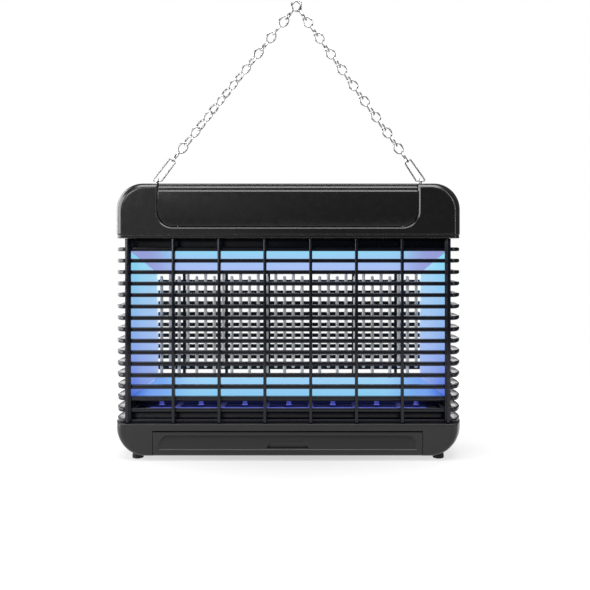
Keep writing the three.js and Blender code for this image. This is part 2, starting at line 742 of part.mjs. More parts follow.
function grid() {
  add("upper_electrode", comb(UPPER_SPINE_Z, UPPER_ROD_END, 1), STEEL);
  add("lower_electrode", comb(LOWER_SPINE_Z, LOWER_ROD_END, 0), STEEL);
  const clear = SPINE_HALF + FIT;
  const upperTop = UPPER_SPINE_Z + 6;
  const lowerBottom = LOWER_SPINE_Z - 4.5;
  const upper = insulatorBar(UPPER_SPINE_Z - 3, upperTop, UPPER_SPINE_Z - 10, UPPER_SPINE_Z + clear);
  const lower = insulatorBar(lowerBottom, LOWER_SPINE_Z + 3, LOWER_SPINE_Z - clear, LOWER_SPINE_Z + 10);
  const upperHangers = hangers(upperTop - 1, FRAME_CEILING - FIT);
  const lowerFeet = hangers(PANEL_LOW, lowerBottom + 0.5);
  add("grid_insulator_upper", join([upper, ...upperHangers]), INSULATOR);
  add("grid_insulator_lower", join([lower, ...lowerFeet]), INSULATOR);
}

// ---------- hanging gear ----------
function hangerEye(x) {
  const from = new THREE.Vector3(x - EYE_HALF_THICK, 0, PIVOT_Z - 1);
  const to = new THREE.Vector3(x + EYE_HALF_THICK, 0, PIVOT_Z - 1);
  const head = bar(from, to, EYE_SEAT_HALF, 20);
  const neck = box(from.x, to.x, -EYE_SEAT_HALF, EYE_SEAT_HALF, EYE_LOW, PIVOT_Z - 1);
  const foot = box(from.x, to.x, -8, 8, EYE_LOW, EYE_LOW + 6);
  const hole = bar(
    new THREE.Vector3(x - 5, 0, PIVOT_Z),
    new THREE.Vector3(x + 5, 0, PIVOT_Z),
    WIRE_RADIUS + 0.8,
    12,
  );
  return cut(join([neck, head, foot]), [hole]);
}

// A closed wire frame in the plane y = 0, mitred at its corners. Its low wire turns in the hanger eye.
function bail(side, top) {
  const down = top.clone().sub(APEX).normalize();
  const across = new THREE.Vector3(-down.z, 0, down.x).multiplyScalar(BAIL_TOP_HALF * side);
  const corners = [
    new THREE.Vector3(side * BAIL_OUT, 0, PIVOT_Z),
    new THREE.Vector3(side * BAIL_IN, 0, PIVOT_Z),
    top.clone().sub(across),
    top.clone().add(across),
  ];
  const depth = new THREE.Vector3(0, 1, 0);
  const sections = corners.map((corner, i) => {
    const arriving = corner.clone().sub(corners[(i + 3) % 4]).normalize();
    const leaving = corners[(i + 1) % 4].clone().sub(corner).normalize();
    const mitre = new THREE.Vector3().subVectors(leaving, arriving).normalize();
    const stretch = 1 / Math.sqrt((1 + arriving.dot(leaving)) / 2);
    return { centre: corner, outward: mitre.multiplyScalar(-stretch), depth };
  });
  return wireRing(sections, WIRE_RADIUS, 6);
}

// Sections of round wire around a closed ring, skinned into a solid.
function wireRing(sections, radius, sides) {
  const position = [];
  const index = [];
  sections.forEach(({ centre, outward, depth }, i) => {
    const next = (i + 1) % sections.length;
    for (let j = 0; j < sides; j++) {
      const turn = (2 * Math.PI * j) / sides;
      const point = centre
        .clone()
        .addScaledVector(outward, radius * Math.cos(turn))
        .addScaledVector(depth, radius * Math.sin(turn));
      position.push(...point.toArray());
      const after = (j + 1) % sides;
      const a = i * sides + j;
      const b = i * sides + after;
      const c = next * sides + after;
      const d = next * sides + j;
      index.push(a, c, b, a, d, c);
    }
  });
  const geometry = new THREE.BufferGeometry();
  geometry.setAttribute("position", new THREE.Float32BufferAttribute(position, 3));
  geometry.setIndex(index);
  const made = solid(geometry);
  return made.volume() > 0 ? made : solid(mirroredWinding(geometry));
}

// A ring of wire: an ellipse about a centre, with its long axis along u and its short one along v.
function wireLoop(centre, u, v, halfLength, halfWidth) {
  const steps = 10;
  const depth = new THREE.Vector3().crossVectors(u, v);
  const sections = Array.from({ length: steps }, (_, i) => {
    const angle = (2 * Math.PI * i) / steps;
    const outward = new THREE.Vector3()
      .addScaledVector(u, Math.cos(angle) / halfLength)
      .addScaledVector(v, Math.sin(angle) / halfWidth)
      .normalize();
    const middle = centre
      .clone()
      .addScaledVector(u, halfLength * Math.cos(angle))
      .addScaledVector(v, halfWidth * Math.sin(angle));
    return { centre: middle, outward, depth };
  });
  return wireRing(sections, LINK_WIRE, 4);
}

// A jack-chain link: two loops at right angles. The lower loop is edge-on, the upper one face-on.
function chainLink(centre, u, twist) {
  const depth = new THREE.Vector3(0, 1, 0);
  const flat = new THREE.Vector3().crossVectors(depth, u).normalize();
  const v = flat.clone().applyAxisAngle(u, twist);
  const w = depth.clone().applyAxisAngle(u, twist);
  const half = LINK_HALF / 2;
  const low = centre.clone().addScaledVector(u, -half);
  const high = centre.clone().addScaledVector(u, half);
  return wireLoop(low, u, w, half, LOOP_HALF_WIDTH).add(wireLoop(high, u, v, half, LOOP_HALF_WIDTH));
}

// A run of chain from a bail's top wire to the hook. It is twisted most a third of the way up.
function chain(name, side, start, twist) {
  const finish = APEX.clone();
  finish.y = side * HOOK_GAP;
  const u = new THREE.Vector3().subVectors(finish, start).normalize();
  const hooked = WIRE_RADIUS + LINK_WIRE + FIT; // the first link's end is this far past the bail's wire
  const firstCentre = start.clone().addScaledVector(u, LINK_HALF - hooked);
  const lastCentre = finish.clone().addScaledVector(u, -LINK_HALF / 2);
  for (let i = 0; i < LINKS_PER_SIDE; i++) {
    const share = i / (LINKS_PER_SIDE - 1);
    const centre = new THREE.Vector3().lerpVectors(firstCentre, lastCentre, share);
    const angle = THREE.MathUtils.degToRad(twist) * Math.sin(Math.PI * share ** 0.6);
    const number = String(i + 1).padStart(2, "0");
    add(`chain_link_${name}_${number}`, chainLink(centre, u, angle), CHROME);
  }
}

function hangingGear() {
  ["left", "right"].forEach((name, i) => {
    const side = i === 0 ? -1 : 1;
    add(`hanger_eye_${name}`, hangerEye(side * EYE_X), CHROME);
    add(`hanger_bail_${name}`, bail(side, BAIL_TOPS[i]), CHROME);
    chain(name, side, BAIL_TOPS[i], TWISTS[i]);
  });
}

topHousing();
housingScrews();
topCover();
housingFloor();
electronics();
cordGland();
baseHousing();
feet();
bottomDeck();
collectionTray();
guards();
lampFrame();
diffusers();
ledBoards();
grid();
hangingGear();

export default unit;
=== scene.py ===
"""Looks of a hanging bug zapper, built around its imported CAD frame.

Shapes are worked out in millimetres, +X right, -Y front, +Z up, and stored in metres.
"""

import math

import bmesh
import bpy
from mathutils import Matrix, Vector
from mathutils.geometry import tessellate_polygon


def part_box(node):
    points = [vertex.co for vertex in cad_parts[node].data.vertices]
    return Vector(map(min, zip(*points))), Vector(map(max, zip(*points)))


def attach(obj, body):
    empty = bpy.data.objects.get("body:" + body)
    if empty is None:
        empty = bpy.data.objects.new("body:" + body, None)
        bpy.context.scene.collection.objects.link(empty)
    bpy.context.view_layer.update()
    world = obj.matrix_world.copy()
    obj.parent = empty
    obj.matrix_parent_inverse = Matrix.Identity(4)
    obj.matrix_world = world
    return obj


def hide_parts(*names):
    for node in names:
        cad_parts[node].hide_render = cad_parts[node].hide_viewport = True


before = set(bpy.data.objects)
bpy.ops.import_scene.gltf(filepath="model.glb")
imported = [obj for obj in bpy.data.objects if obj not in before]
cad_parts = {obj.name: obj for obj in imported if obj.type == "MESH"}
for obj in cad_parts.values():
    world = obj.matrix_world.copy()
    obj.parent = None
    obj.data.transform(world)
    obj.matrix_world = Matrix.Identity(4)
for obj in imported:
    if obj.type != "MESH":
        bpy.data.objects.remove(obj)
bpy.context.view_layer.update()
MM = 0.001


def corners(node):
    """Lowest and highest corner of a CAD node, in millimetres."""
    low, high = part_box(node)
    return low / MM, high / MM


# ---------- sizes read from the frame ----------
HOUSING_MIN, HOUSING_MAX = corners("top_housing_front")
COVER_MIN, COVER_MAX = corners("top_cover")
FLOOR_MIN, FLOOR_MAX = corners("housing_floor")
BASE_LOW = corners("base_housing")[0].z
DECK_MIN, DECK_MAX = corners("bottom_deck")
TRAY_MAX = corners("collection_tray")[1]
GUARD_MIN, GUARD_MAX = corners("front_guard")
LAMP_MAX = corners("lamp_frame")[1]
GLAND_MIN, GLAND_MAX = corners("cord_gland")
SCREW_MIN, SCREW_MAX = corners("housing_screw_right")
EYE_MIN, EYE_MAX = corners("hanger_eye_right")
FOOT_MIN, FOOT_MAX = corners("foot_front_right")

HALF_WIDTH = HOUSING_MAX.x
HALF_DEPTH = -HOUSING_MIN.y
TOP_Z = HOUSING_MAX.z
SCREW_X = (SCREW_MIN.x + SCREW_MAX.x) / 2
SCREW_Z = (SCREW_MIN.z + SCREW_MAX.z) / 2
GLAND_X = (GLAND_MIN.x + GLAND_MAX.x) / 2
GLAND_Z = (GLAND_MIN.z + GLAND_MAX.z) / 2
FOOT_X = (FOOT_MIN.x + FOOT_MAX.x) / 2
FOOT_Y = -(FOOT_MIN.y + FOOT_MAX.y) / 2
EYE_X = (EYE_MIN.x + EYE_MAX.x) / 2

# ---------- sizes of the shells ----------
SEAM = 0.15  # half the gap between the front and rear pieces
FIT = 0.3  # gap between neighbouring pieces
WALL = 2.6
FACE_FILLET = 4.5
FACE_DEPTHS = [45, 44.97, 44.88, 44.7, 44.5, 44.25, 43.9, 43.4, 42.8, 41.8, 40.5]  # stations of that round
SIDE_CROWN = 9
TOP_CROWN = 4
BOTTOM_CROWN = 2.5
EDGE = 0.8  # small round on the cut edges of the shells
NOTCH_EDGE = 2.2  # chamfer along the cut-out for the saddle cover
HOUSING_CORNER = 29
BASE_CORNER = 30
BASE_TOP = 40
COVER_HALF = COVER_MAX.x + FIT
COVER_LOW = 255
COVER_STEP = 293.4  # where the cover's flat face ends
COVER_CORNER = 17
COVER_SHEET = 2.4
COVER_EDGE = 0.6

# ---------- sizes of the base and the drawer ----------
MOUTH_HALF = 146.8  # opening for the drawer
MOUTH_TOP = TRAY_MAX.z + FIT
MOUTH_BACK = 39.2
WELL_HALF = 165  # opening under the deck
WELL_DEPTH = LAMP_MAX.y - WALL
DRAWER_HALF = TRAY_MAX.x
DRAWER_BACK = HALF_DEPTH - 5.5  # rear of the drawer front
DRAWER_GAP = 0.9  # shadow gap over the drawer front, beyond its fit
ROUND_START = 12.4  # the drawer front curves in below this height
DRAWER_LOW = 5.3
PANEL_HALF = 129.3  # straight part of the sunk panel on the drawer front
PANEL_END = 12  # how far the panel's rounded ends run past it
PANEL_TOP_Z = 28
PANEL_LOW_Z = 13
PANEL_SINK = 1.3
FINGER_LOW, FINGER_HIGH = 14, 21.5
FINGER_HALF = 23
FINGER_DEEP = 3
BIN_HALF = 141
BIN_LOW = 9.3
BIN_WALL = 2

# ---------- sizes of the guards, the lamp frame and the grid ----------
FIN_COUNT = 16
FIN_PITCH = 12.6
FIN_TOP_Z = 230.3
FIN_THICK = 4.3
FIN_THIN = 0.42  # share of the thickness left at the parting line
FIN_FRONT = 36
FIN_BACK = 29
FIN_INNER_X = 181.3
FIN_CROWN = 9
FIN_ROUND = 6
RIB_PITCH = 50
RIB_COUNT = 8
RIB_WIDTH = 3.4
POST_WIDTH = 6.4  # strips behind the outermost ribs
POST_FRONT = 39
FRAME_HALF = 178
FRAME_WALL = 2.5
LAMP_LOW = 62.3  # underside of the lamp frame
WINDOW_TOP = 228.7
LEG_SPOTS = [-145, -100, -50, 0, 50, 100, 145]
CHIP_HALF = 1.8
CHIP_RISE = 1.2
ROD_PITCH = 10
ROD_COUNT = 30
ROD_RADIUS = 1.8
SPINE_REACH = 148
SPINE_HALF = 2

# ---------- sizes of the hanging gear ----------
PIVOT_Z = 307.6
BAIL_WIRE = 0.9
BAIL_OUT = 157.4
BAIL_IN = 144.4
BAIL_BEND = 1.9
BAIL_TOPS = [Vector((-131.7, 0, 332.6)), Vector((134.5, 0, 331.7))]
BAIL_TOP_HALF = 4.6
LINKS_PER_SIDE = 10
LINK_HALF = 12.75
LINK_WIRE = 0.94
LOOP_HALF_WIDTH = 4.75
HOOKED = BAIL_WIRE + LINK_WIRE + FIT  # how far the first link reaches past the bail's wire
HOOK_GAP = 1.15  # the two top loops hang side by side, this far off the middle plane
TWISTS = [58, 10]  # most twist of each run of chain, in degrees
APEX = Vector((8.5, 0, 507.6))

SIDES = (("left", -1), ("right", 1))
ENDS = (("front", -1), ("rear", 1))


# ---------- mesh tools ----------
class Shape:
    """Points in millimetres and the faces between them, gathered from one or more closed shells."""

    def __init__(self, *made):
        self.points = []
        self.faces = []
        for points_and_faces in made:
            self.add(points_and_faces)

    def add(self, made):
        points, faces = made
        start = len(self.points)
        self.points += [Vector(p) for p in points]
        self.faces += [[start + i for i in face] for face in faces]


def mesh_of(name, shape):
    """A mesh in metres, with its faces turned outwards."""
    mesh = bpy.data.meshes.new(name)
    mesh.from_pydata([p * MM for p in shape.points], [], shape.faces)
    bm = bmesh.new()
    bm.from_mesh(mesh)
    bmesh.ops.remove_doubles(bm, verts=bm.verts, dist=1e-7)
    bmesh.ops.recalc_face_normals(bm, faces=bm.faces)
    bm.to_mesh(mesh)
    bm.free()
    return mesh


def linked(name, data):
    """A new object in the scene."""
    obj = bpy.data.objects.new(name, data)
    bpy.context.scene.collection.objects.link(obj)
    return obj


def piece(name, shape, material, replaces=(), body="unit", crease=32):
    """A finished object that rides on a body and stands for CAD nodes."""
    obj = linked(name, mesh_of(name, shape))
    smooth(obj, crease)
    obj.data.materials.append(material)
    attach(obj, body)
    if replaces:
        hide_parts(*replaces)
    return obj


def smooth(obj, crease):
    """Smooth shading, except over edges sharper than the crease angle in degrees."""
    obj.data.shade_smooth()
    obj.data.set_sharp_from_angle(angle=math.radians(crease))


def skin(loops, closed=False):
    """Loops with the same number of points, skinned. The ends are capped unless it closes on itself."""
    count = len(loops[0])
    rings = len(loops)
    points = [p for loop in loops for p in loop]
    faces = []
    for a in range(rings if closed else rings - 1):
        b = (a + 1) % rings
        for i in range(count):
            j = (i + 1) % count
            faces.append([a * count + i, a * count + j, b * count + j, b * count + i])
    if not closed:
        faces.append(list(range(count)))
        faces.append([(rings - 1) * count + i for i in range(count)])
    return points, faces


def level(x, y, height):
    """Where a point of a sheet that lies flat goes."""
    return x, y, height


def sheet(outlines, stations, place=level):
    """A flat sheet with holes. outlines are (x, y) loops, the outer one first and counterclockwise,
    the holes clockwise. stations are (height, inset) pairs, and place turns (x, y, height) to a point."""
    shape = Shape()
    ends = ([], [])
    for outline in outlines:
        offsets = mitres(outline)
        stack = [
            [place(x + inset * mx, y + inset * my, height) for (x, y), (mx, my) in zip(outline, offsets)]
            for height, inset in stations
        ]
        points, faces = skin(stack)
        shape.add((points, faces[:-2]))
        ends[0].append(stack[0])
        ends[1].append(stack[-1])
    for loops in ends:
        flat = [[Vector(p) for p in loop] for loop in loops]
        shape.add(([p for loop in flat for p in loop], [list(t) for t in tessellate_polygon(flat)]))
    return shape


def mitres(outline):
    """For each point of a counterclockwise outline, the way in that keeps both edges' offsets equal."""
    made = []
    count = len(outline)
    for i, (x, y) in enumerate(outline):
        before = outline[i - 1]
        after = outline[(i + 1) % count]
        a = Vector((x - before[0], y - before[1])).normalized()
        b = Vector((after[0] - x, after[1] - y)).normalized()
        na, nb = Vector((-a.y, a.x)), Vector((-b.y, b.x))
        made.append((na + nb) / max(1 + na.dot(nb), 0.3))
    return made


def arc(cx, cy, radius, start, end, steps):
    """Points on an arc, from one angle to another in degrees."""
    angles = [math.radians(start + (end - start) * i / steps) for i in range(steps + 1)]
    return [(cx + radius * math.cos(a), cy + radius * math.sin(a)) for a in angles]


def rounded(x0, x1, y0, y1, radius, steps=4):
    """A counterclockwise rectangle with round corners."""
    turns = ((x1 - radius, y0 + radius, -90), (x1 - radius, y1 - radius, 0),
             (x0 + radius, y1 - radius, 90), (x0 + radius, y0 + radius, 180))
    return [point for cx, cy, start in turns for point in arc(cx, cy, radius, start, start + 90, steps)]


def round_stations(low, high, radius, steps=3):
    """(height, inset) pairs of a plate whose top and bottom edges are round."""
    turn = [math.radians(90 * i / steps) for i in range(steps + 1)]
    lower = [(low + radius * (1 - math.sin(a)), radius * (1 - math.cos(a))) for a in reversed(turn)]
    upper = [(high - radius * (1 - math.sin(a)), radius * (1 - math.cos(a))) for a in turn]
    return lower + upper


def block(low, high, radius=0.5):
    """A box with round edges, as points and faces."""
    low, high = Vector(low), Vector(high)
    bm = bmesh.new()
    bmesh.ops.create_cube(bm, size=1)
    bmesh.ops.scale(bm, vec=high - low, verts=bm.verts)
    bmesh.ops.translate(bm, vec=(low + high) / 2, verts=bm.verts)
    edges = list(bm.edges)
    bmesh.ops.bevel(bm, geom=edges, offset=radius, segments=2, profile=0.5, affect="EDGES")
    bm.verts.index_update()
    made = [v.co.copy() for v in bm.verts], [[v.index for v in f.verts] for f in bm.faces]
    bm.free()
    return made


def turned(profile, origin, axis, steps=32):
    """A profile of (radius, height) pairs turned about an axis. It starts and ends on the axis."""
    axis = Vector(axis).normalized()
    side = axis.orthogonal().normalized()
    other = axis.cross(side)
    origin = Vector(origin)
    points = [origin + axis * profile[0][1]]
    faces = []
    rings = profile[1:-1]
    for radius, height in rings:
        for i in range(steps):
            a = 2 * math.pi * i / steps
            points.append(origin + axis * height + (side * math.cos(a) + other * math.sin(a)) * radius)
    points.append(origin + axis * profile[-1][1])
    last = len(points) - 1
    for i in range(steps):
        j = (i + 1) % steps
        faces.append([0, 1 + j, 1 + i])
        for ring in range(len(rings) - 1):
            a = 1 + ring * steps
            faces.append([a + i, a + j, a + steps + j, a + steps + i])
        faces.append([last, last - steps + i, last - steps + j])
    return points, faces


def wire(path, radius, sides=10):
    """A closed ring of round wire along a flat path of points."""
    count = len(path)
    normal = (path[count // 4] - path[0]).cross(path[count // 2] - path[0]).normalized()
    loops = []
    for i, point in enumerate(path):
        along = (path[(i + 1) % count] - path[i - 1]).normalized()
        out = along.cross(normal)
        turn = [2 * math.pi * j / sides for j in range(sides)]
        loops.append([point + (out * math.cos(a) + normal * math.sin(a)) * radius for a in turn])
    return skin(loops, closed=True)


def carve(obj, tools):
    """Cuts shapes out of an object and keeps the result as its mesh."""
    for tool in tools:
        cutter = linked("cutter", mesh_of("cutter", tool))
        cut = obj.modifiers.new("cut", "BOOLEAN")
        cut.operation = "DIFFERENCE"
        cut.solver = "EXACT"
        cut.object = cutter
        bpy.context.view_layer.update()
        result = obj.evaluated_get(bpy.context.evaluated_depsgraph_get())
        carved = bpy.data.meshes.new_from_object(result)
        obj.modifiers.remove(cut)
        obj.data = carved
        bpy.data.objects.remove(cutter)
    smooth(obj, 32)


def fall(depth, face, radius):
    """How far a round edge has dropped where the depth is past the start of the round."""
    past = depth - (face - radius)
    if past <= 0:
        return 0
    return radius - math.sqrt(max(radius**2 - past**2, 0))


# ---------- materials ----------
def srgb(red, green, blue):
    """A colour given as 0 to 255 on a screen, as linear values."""
    linear = [
        c / 255 / 12.92 if c <= 10 else ((c / 255 + 0.055) / 1.055) ** 2.4 for c in (red, green, blue)
    ]
    return (*linear, 1)


class Nodes:
    """A material's node tree, with short ways to add and join nodes."""

    def __init__(self, name):
        self.material = bpy.data.materials.new(name)
        self.material.use_nodes = True
        self.tree = self.material.node_tree
        self.shader = self.tree.nodes["Principled BSDF"]
        self.place = self.add("ShaderNodeTexCoord").outputs["Object"]

    def add(self, kind, inputs=None, **settings):
        """A new node with its settings, and with its inputs set or joined."""
        node = self.tree.nodes.new(kind)
        for key, value in settings.items():
            setattr(node, key, value)
        for key, value in (inputs or {}).items():
            self.feed(node.inputs[key], value)
        return node

    def feed(self, socket, value):
        if isinstance(value, bpy.types.NodeSocket):
            self.tree.links.new(value, socket)
        else:
            socket.default_value = value

    def shade(self, **values):
        """Sets or joins the shader's own sockets."""
        for key, value in values.items():
            self.feed(self.shader.inputs[key.replace("_", " ")], value)

    def noise(self, scale, detail=2, rough=0.5, stretch=None):
        place = self.place
        if stretch:
            place = self.add("ShaderNodeMapping", {"Vector": place, "Scale": stretch}).outputs["Vector"]
        inputs = {"Vector": place, "Scale": scale, "Detail": detail, "Roughness": rough}
        return self.add("ShaderNodeTexNoise", inputs).outputs["Fac"]

    def span(self, value, from_low, from_high, to_low=0.0, to_high=1.0, smooth_ends=False):
        inputs = {"Value": value, "From Min": from_low, "From Max": from_high, "To Min": to_low,
                  "To Max": to_high}
        kind = "SMOOTHSTEP" if smooth_ends else "LINEAR"
        return self.add("ShaderNodeMapRange", inputs, interpolation_type=kind).outputs["Result"]

    def mix(self, share, first, second):
        return self.add("ShaderNodeMix", {0: share, 6: first, 7: second}, data_type="RGBA").outputs[2]

    def ramp(self, value, stops):
        """A colour that runs through (position, screen colour) stops."""
        node = self.add("ShaderNodeValToRGB", {0: value})
        colours = node.color_ramp.elements
        while len(colours) < len(stops):
            colours.new(0.5)
        for element, (position, colour) in zip(colours, stops):
            element.position = position
            element.color = srgb(*colour)
        return node.outputs["Color"]

    def axes(self):
        """The distance from the middle plane, and the height."""
        x, _, z = self.add("ShaderNodeSeparateXYZ", {0: self.place}).outputs
        return self.add("ShaderNodeMath", {0: x}, operation="ABSOLUTE").outputs[0], z

    def bump(self, height, strength, distance=0.00003):
        """Lets a height change the shader's normal. distance is in metres."""
        inputs = {"Height": height, "Strength": strength, "Distance": distance}
        self.shade(Normal=self.add("ShaderNodeBump", inputs).outputs["Normal"])


def tinted(color, factor):
    """The colour, lighter or darker by a factor."""
    return (*[c * factor for c in color[:3]], 1)


def moulded(name, color, roughness, grain=0.08, shine=0.5):
    """Injection-moulded plastic: a fine spark-eroded grain, faint flow marks and uneven gloss."""
    n = Nodes(name)
    flow = n.noise(9, 4, 0.6)
    mottle = n.noise(140, 3)
    n.shade(
        Base_Color=n.mix(flow, tinted(color, 0.88), tinted(color, 1.14)),
        Roughness=n.span(mottle, 0.3, 0.7, roughness - 0.02, roughness + 0.04),
        Specular_IOR_Level=shine,
    )
    n.bump(n.noise(2600, 2, 0.7), grain)
    return n.material


def brushed(name, color, roughness, stretch, streak=0.3, tarnish=0.2, metallic=1.0):
    """Bare drawn metal: streaks along the wire or rod and patches of dullness."""
    n = Nodes(name)
    lines = n.noise(1, 3, 0.6, stretch)
    patches = n.noise(55, 4, 0.65)
    dull = n.mix(n.span(patches, 0.4, 0.75), color, tinted(color, 1 - tarnish))
    n.shade(
        Base_Color=n.mix(n.span(lines, 0.3, 0.7), dull, tinted(color, 0.8)),
        Roughness=n.span(lines, 0.3, 0.7, roughness, roughness + 0.15),
        Metallic=metallic,
    )
    n.bump(lines, streak)
    return n.material


def panel_light(name, paint):
    """A frosted panel lit from behind. paint returns the colour that glows."""
    n = Nodes(name)
    frost = n.noise(900, 2)
    cloud = n.noise(30, 3)
    n.shade(
        Emission_Color=n.mix(n.span(cloud, 0.35, 0.65, 0.0, 0.15), paint(n), srgb(160, 180, 238)),
        Base_Color=n.mix(cloud, srgb(40, 58, 96), srgb(56, 74, 110)),
        Roughness=n.span(frost, 0.3, 0.7, 0.3, 0.42),
        Emission_Strength=0.96,
    )
    n.bump(frost, 0.15, 0.0001)
    return n.material


def top_glow(n):
    """Lilac at its inner edge, sky blue at its outer edge and dull lilac at its ends."""
    x, z = n.axes()
    stops = [(0, (174, 192, 242)), (0.45, (168, 196, 243)), (1, (146, 220, 245))]
    middle = n.ramp(n.span(z, 0.2034, 0.2284), stops)
    return n.mix(n.span(x, 0.115, 0.158, smooth_ends=True), middle, srgb(150, 156, 212))


def side_glow(n):
    """From cyan at the top through soft blue to deep blue at the low corner."""
    x, z = n.axes()
    stops = [(0, (40, 92, 204)), (0.09, (84, 118, 216)), (0.18, (122, 146, 226)), (0.38, (140, 172, 234)),
             (0.68, (142, 196, 238)), (1, (132, 220, 242))]
    along = n.ramp(n.span(z, 0.065, 0.228), stops)
    return n.mix(n.span(x, 0.172, 0.150, 0.0, 0.35), along, srgb(205, 226, 238))


def bottom_glow(n):
    """Sky blue, with deeper blue ends."""
    x, z = n.axes()
    middle = n.ramp(n.span(z, 0.066, 0.084), [(0, (132, 202, 239)), (1, (160, 216, 245))])
    outer = n.mix(n.span(x, 0.105, 0.150, smooth_ends=True), middle, srgb(112, 162, 234))
    return n.mix(n.span(x, 0.150, 0.172, smooth_ends=True), outer, srgb(50, 104, 208))


def circuit_green():
    """Green solder mask with lighter tracks."""
    n = Nodes("circuit_board")
    tracks = n.add("ShaderNodeTexBrick", {
        "Vector": n.place, "Scale": 260.0, "Mortar Size": 0.06, "Color1": srgb(26, 92, 48),
        "Color2": srgb(22, 80, 42), "Mortar": srgb(52, 132, 72),
    })
    n.shade(Base_Color=tracks.outputs["Color"], Roughness=n.span(n.noise(200), 0.3, 0.7, 0.35, 0.5))
    n.bump(tracks.outputs["Fac"], 0.2, 0.0001)
    return n.material


def led_chip():
    """Yellow phosphor chips with a violet glow."""
    n = Nodes("led_chip")
    n.shade(
        Base_Color=n.mix(n.noise(900), srgb(236, 226, 150), srgb(246, 238, 180)),
        Roughness=n.span(n.noise(300), 0.3, 0.7, 0.2, 0.35),
        Emission_Color=srgb(150, 140, 255),
        Emission_Strength=2.0,
    )
    return n.material


BLACK = moulded("black_abs", srgb(18, 18, 19), 0.24)
GUARD_BLACK = moulded("guard_abs", srgb(8, 10, 20), 0.24, grain=0.06, shine=0.35)
DECK_BLACK = moulded("deck_abs", srgb(26, 27, 34), 0.6, shine=0.15)
PEG_GREY = moulded("peg_nylon", srgb(150, 152, 165), 0.5)
BASE_GREY = moulded("base_abs", srgb(34, 33, 34), 0.32, shine=0.32)
RUBBER = moulded("rubber", srgb(24, 24, 26), 0.75, grain=0.3, shine=0.3)
CREAM = moulded("insulating_plastic", srgb(226, 220, 206), 0.45)
BOARD_WHITE = moulded("led_board_lacquer", srgb(222, 224, 226), 0.35, grain=0.05)
FERRITE = moulded("ferrite", srgb(44, 44, 48), 0.6, grain=0.25)
GREEN_BOARD = circuit_green()
ROD_STEEL = brushed("rod_steel", srgb(253, 250, 246), 0.4, (900, 900, 30), tarnish=0.08, metallic=0.25)
SCREW_STEEL = brushed("screw_steel", srgb(120, 120, 122), 0.35, (400, 400, 400))
CHROME = brushed("plated_wire", srgb(196, 196, 198), 0.12, (260, 260, 260), streak=0.05, tarnish=0.1)
COPPER = brushed("winding_copper", srgb(190, 104, 62), 0.3, (40, 2400, 2400))
TOP_PANEL = panel_light("top_panel", top_glow)
SIDE_PANEL = panel_light("side_panel", side_glow)
BOTTOM_PANEL = panel_light("bottom_panel", bottom_glow)
LED = led_chip()


# ---------- camera, light and floor ----------
SENSOR = 36
FOCAL_LENGTH = 51.132
CAMERA_PLACE = Vector((0.0297, -0.955, 0.2273))
SHIFT = (-0.0339, -0.0729)
FLOOR_REACH = 0.6  # half the side of the floor, in metres
PAINTED_SHADOW_REACH = (0.22, 0.20, 1)  # half-axes of the oval of painted shadow, over which the floor's glow rises from dim to full white


def make_camera():
    """The camera of the photo, level and shifted."""
    data = bpy.data.cameras.new("camera")
    data.sensor_width = SENSOR
    data.lens = FOCAL_LENGTH
    data.shift_x, data.shift_y = SHIFT
    data.clip_start = 0.01
    camera = linked("camera", data)
    camera.location = CAMERA_PLACE
    camera.rotation_euler = (math.radians(90), 0, 0)
    bpy.context.scene.camera = camera


def area_light(name, place, target, size, radiance, color=(1, 1, 1)):
    """A rectangular light of the given width and height, in metres, that the camera doesn't see."""
    data = bpy.data.lights.new(name, "AREA")
    data.shape = "RECTANGLE"
    data.size, data.size_y = size
    data.energy = radiance * math.pi * size[0] * size[1]
    data.color = color
    lamp = linked(name, data)
    lamp.location = place
    lamp.rotation_euler = (Vector(target) - Vector(place)).to_track_quat("-Z", "Y").to_euler()
    lamp.visible_camera = False


def make_lights():
    """Softboxes above and on the left, a narrow strip on the right, and a lit wall behind."""
    middle = (0, 0, 0.2)
    area_light("top_softbox", (0, -0.30, 1.45), (0, -0.30, 0), (1.5, 1.4), 7)
    area_light("left_softbox", (-1.20, -0.25, 0.40), middle, (0.9, 1.0), 7)
    area_light("left_rear_softbox", (-1.15, 0.85, 0.45), middle, (1.1, 1.0), 2.4)
    area_light("right_strip", (1.20, -0.50, 0.40), middle, (0.14, 1.0), 6)
    area_light("upper_right_strip", (0.95, -0.50, 1.05), middle, (0.14, 0.9), 6)
    area_light("key", (-0.90, -1.50, 0.95), middle, (0.5, 0.5), 10)
    area_light("front_card", (-0.75, -2.20, 0.35), middle, (1.2, 1.3), 0.3)
    area_light("backdrop", (-0.05, 1.40, 0.21), (-0.05, 0, 0.21), (1.02, 0.30), 2.4)
    under_frame = (LAMP_LOW - 0.6) * MM
    area_light("leaking_glow", (0, 0, under_frame), (0, 0, 0), (0.31, 0.05), 2.2, (0.16, 0.20, 1))


def make_world():
    """White where the camera looks past the object, and a dim studio round it."""
    world = bpy.data.worlds.new("studio")
    bpy.context.scene.world = world
    world.use_nodes = True
    nodes = world.node_tree.nodes
    links = world.node_tree.links
    room = nodes["Background"]
    room.inputs["Color"].default_value = (0.06, 0.06, 0.062, 1)
    backdrop = nodes.new("ShaderNodeBackground")
    backdrop.inputs["Color"].default_value = (1, 1, 1, 1)
    rays = nodes.new("ShaderNodeLightPath")
    mix = nodes.new("ShaderNodeMixShader")
    links.new(rays.outputs["Is Camera Ray"], mix.inputs["Fac"])
    links.new(room.outputs[0], mix.inputs[1])
    links.new(backdrop.outputs[0], mix.inputs[2])
    links.new(mix.outputs[0], nodes["World Output"].inputs["Surface"])


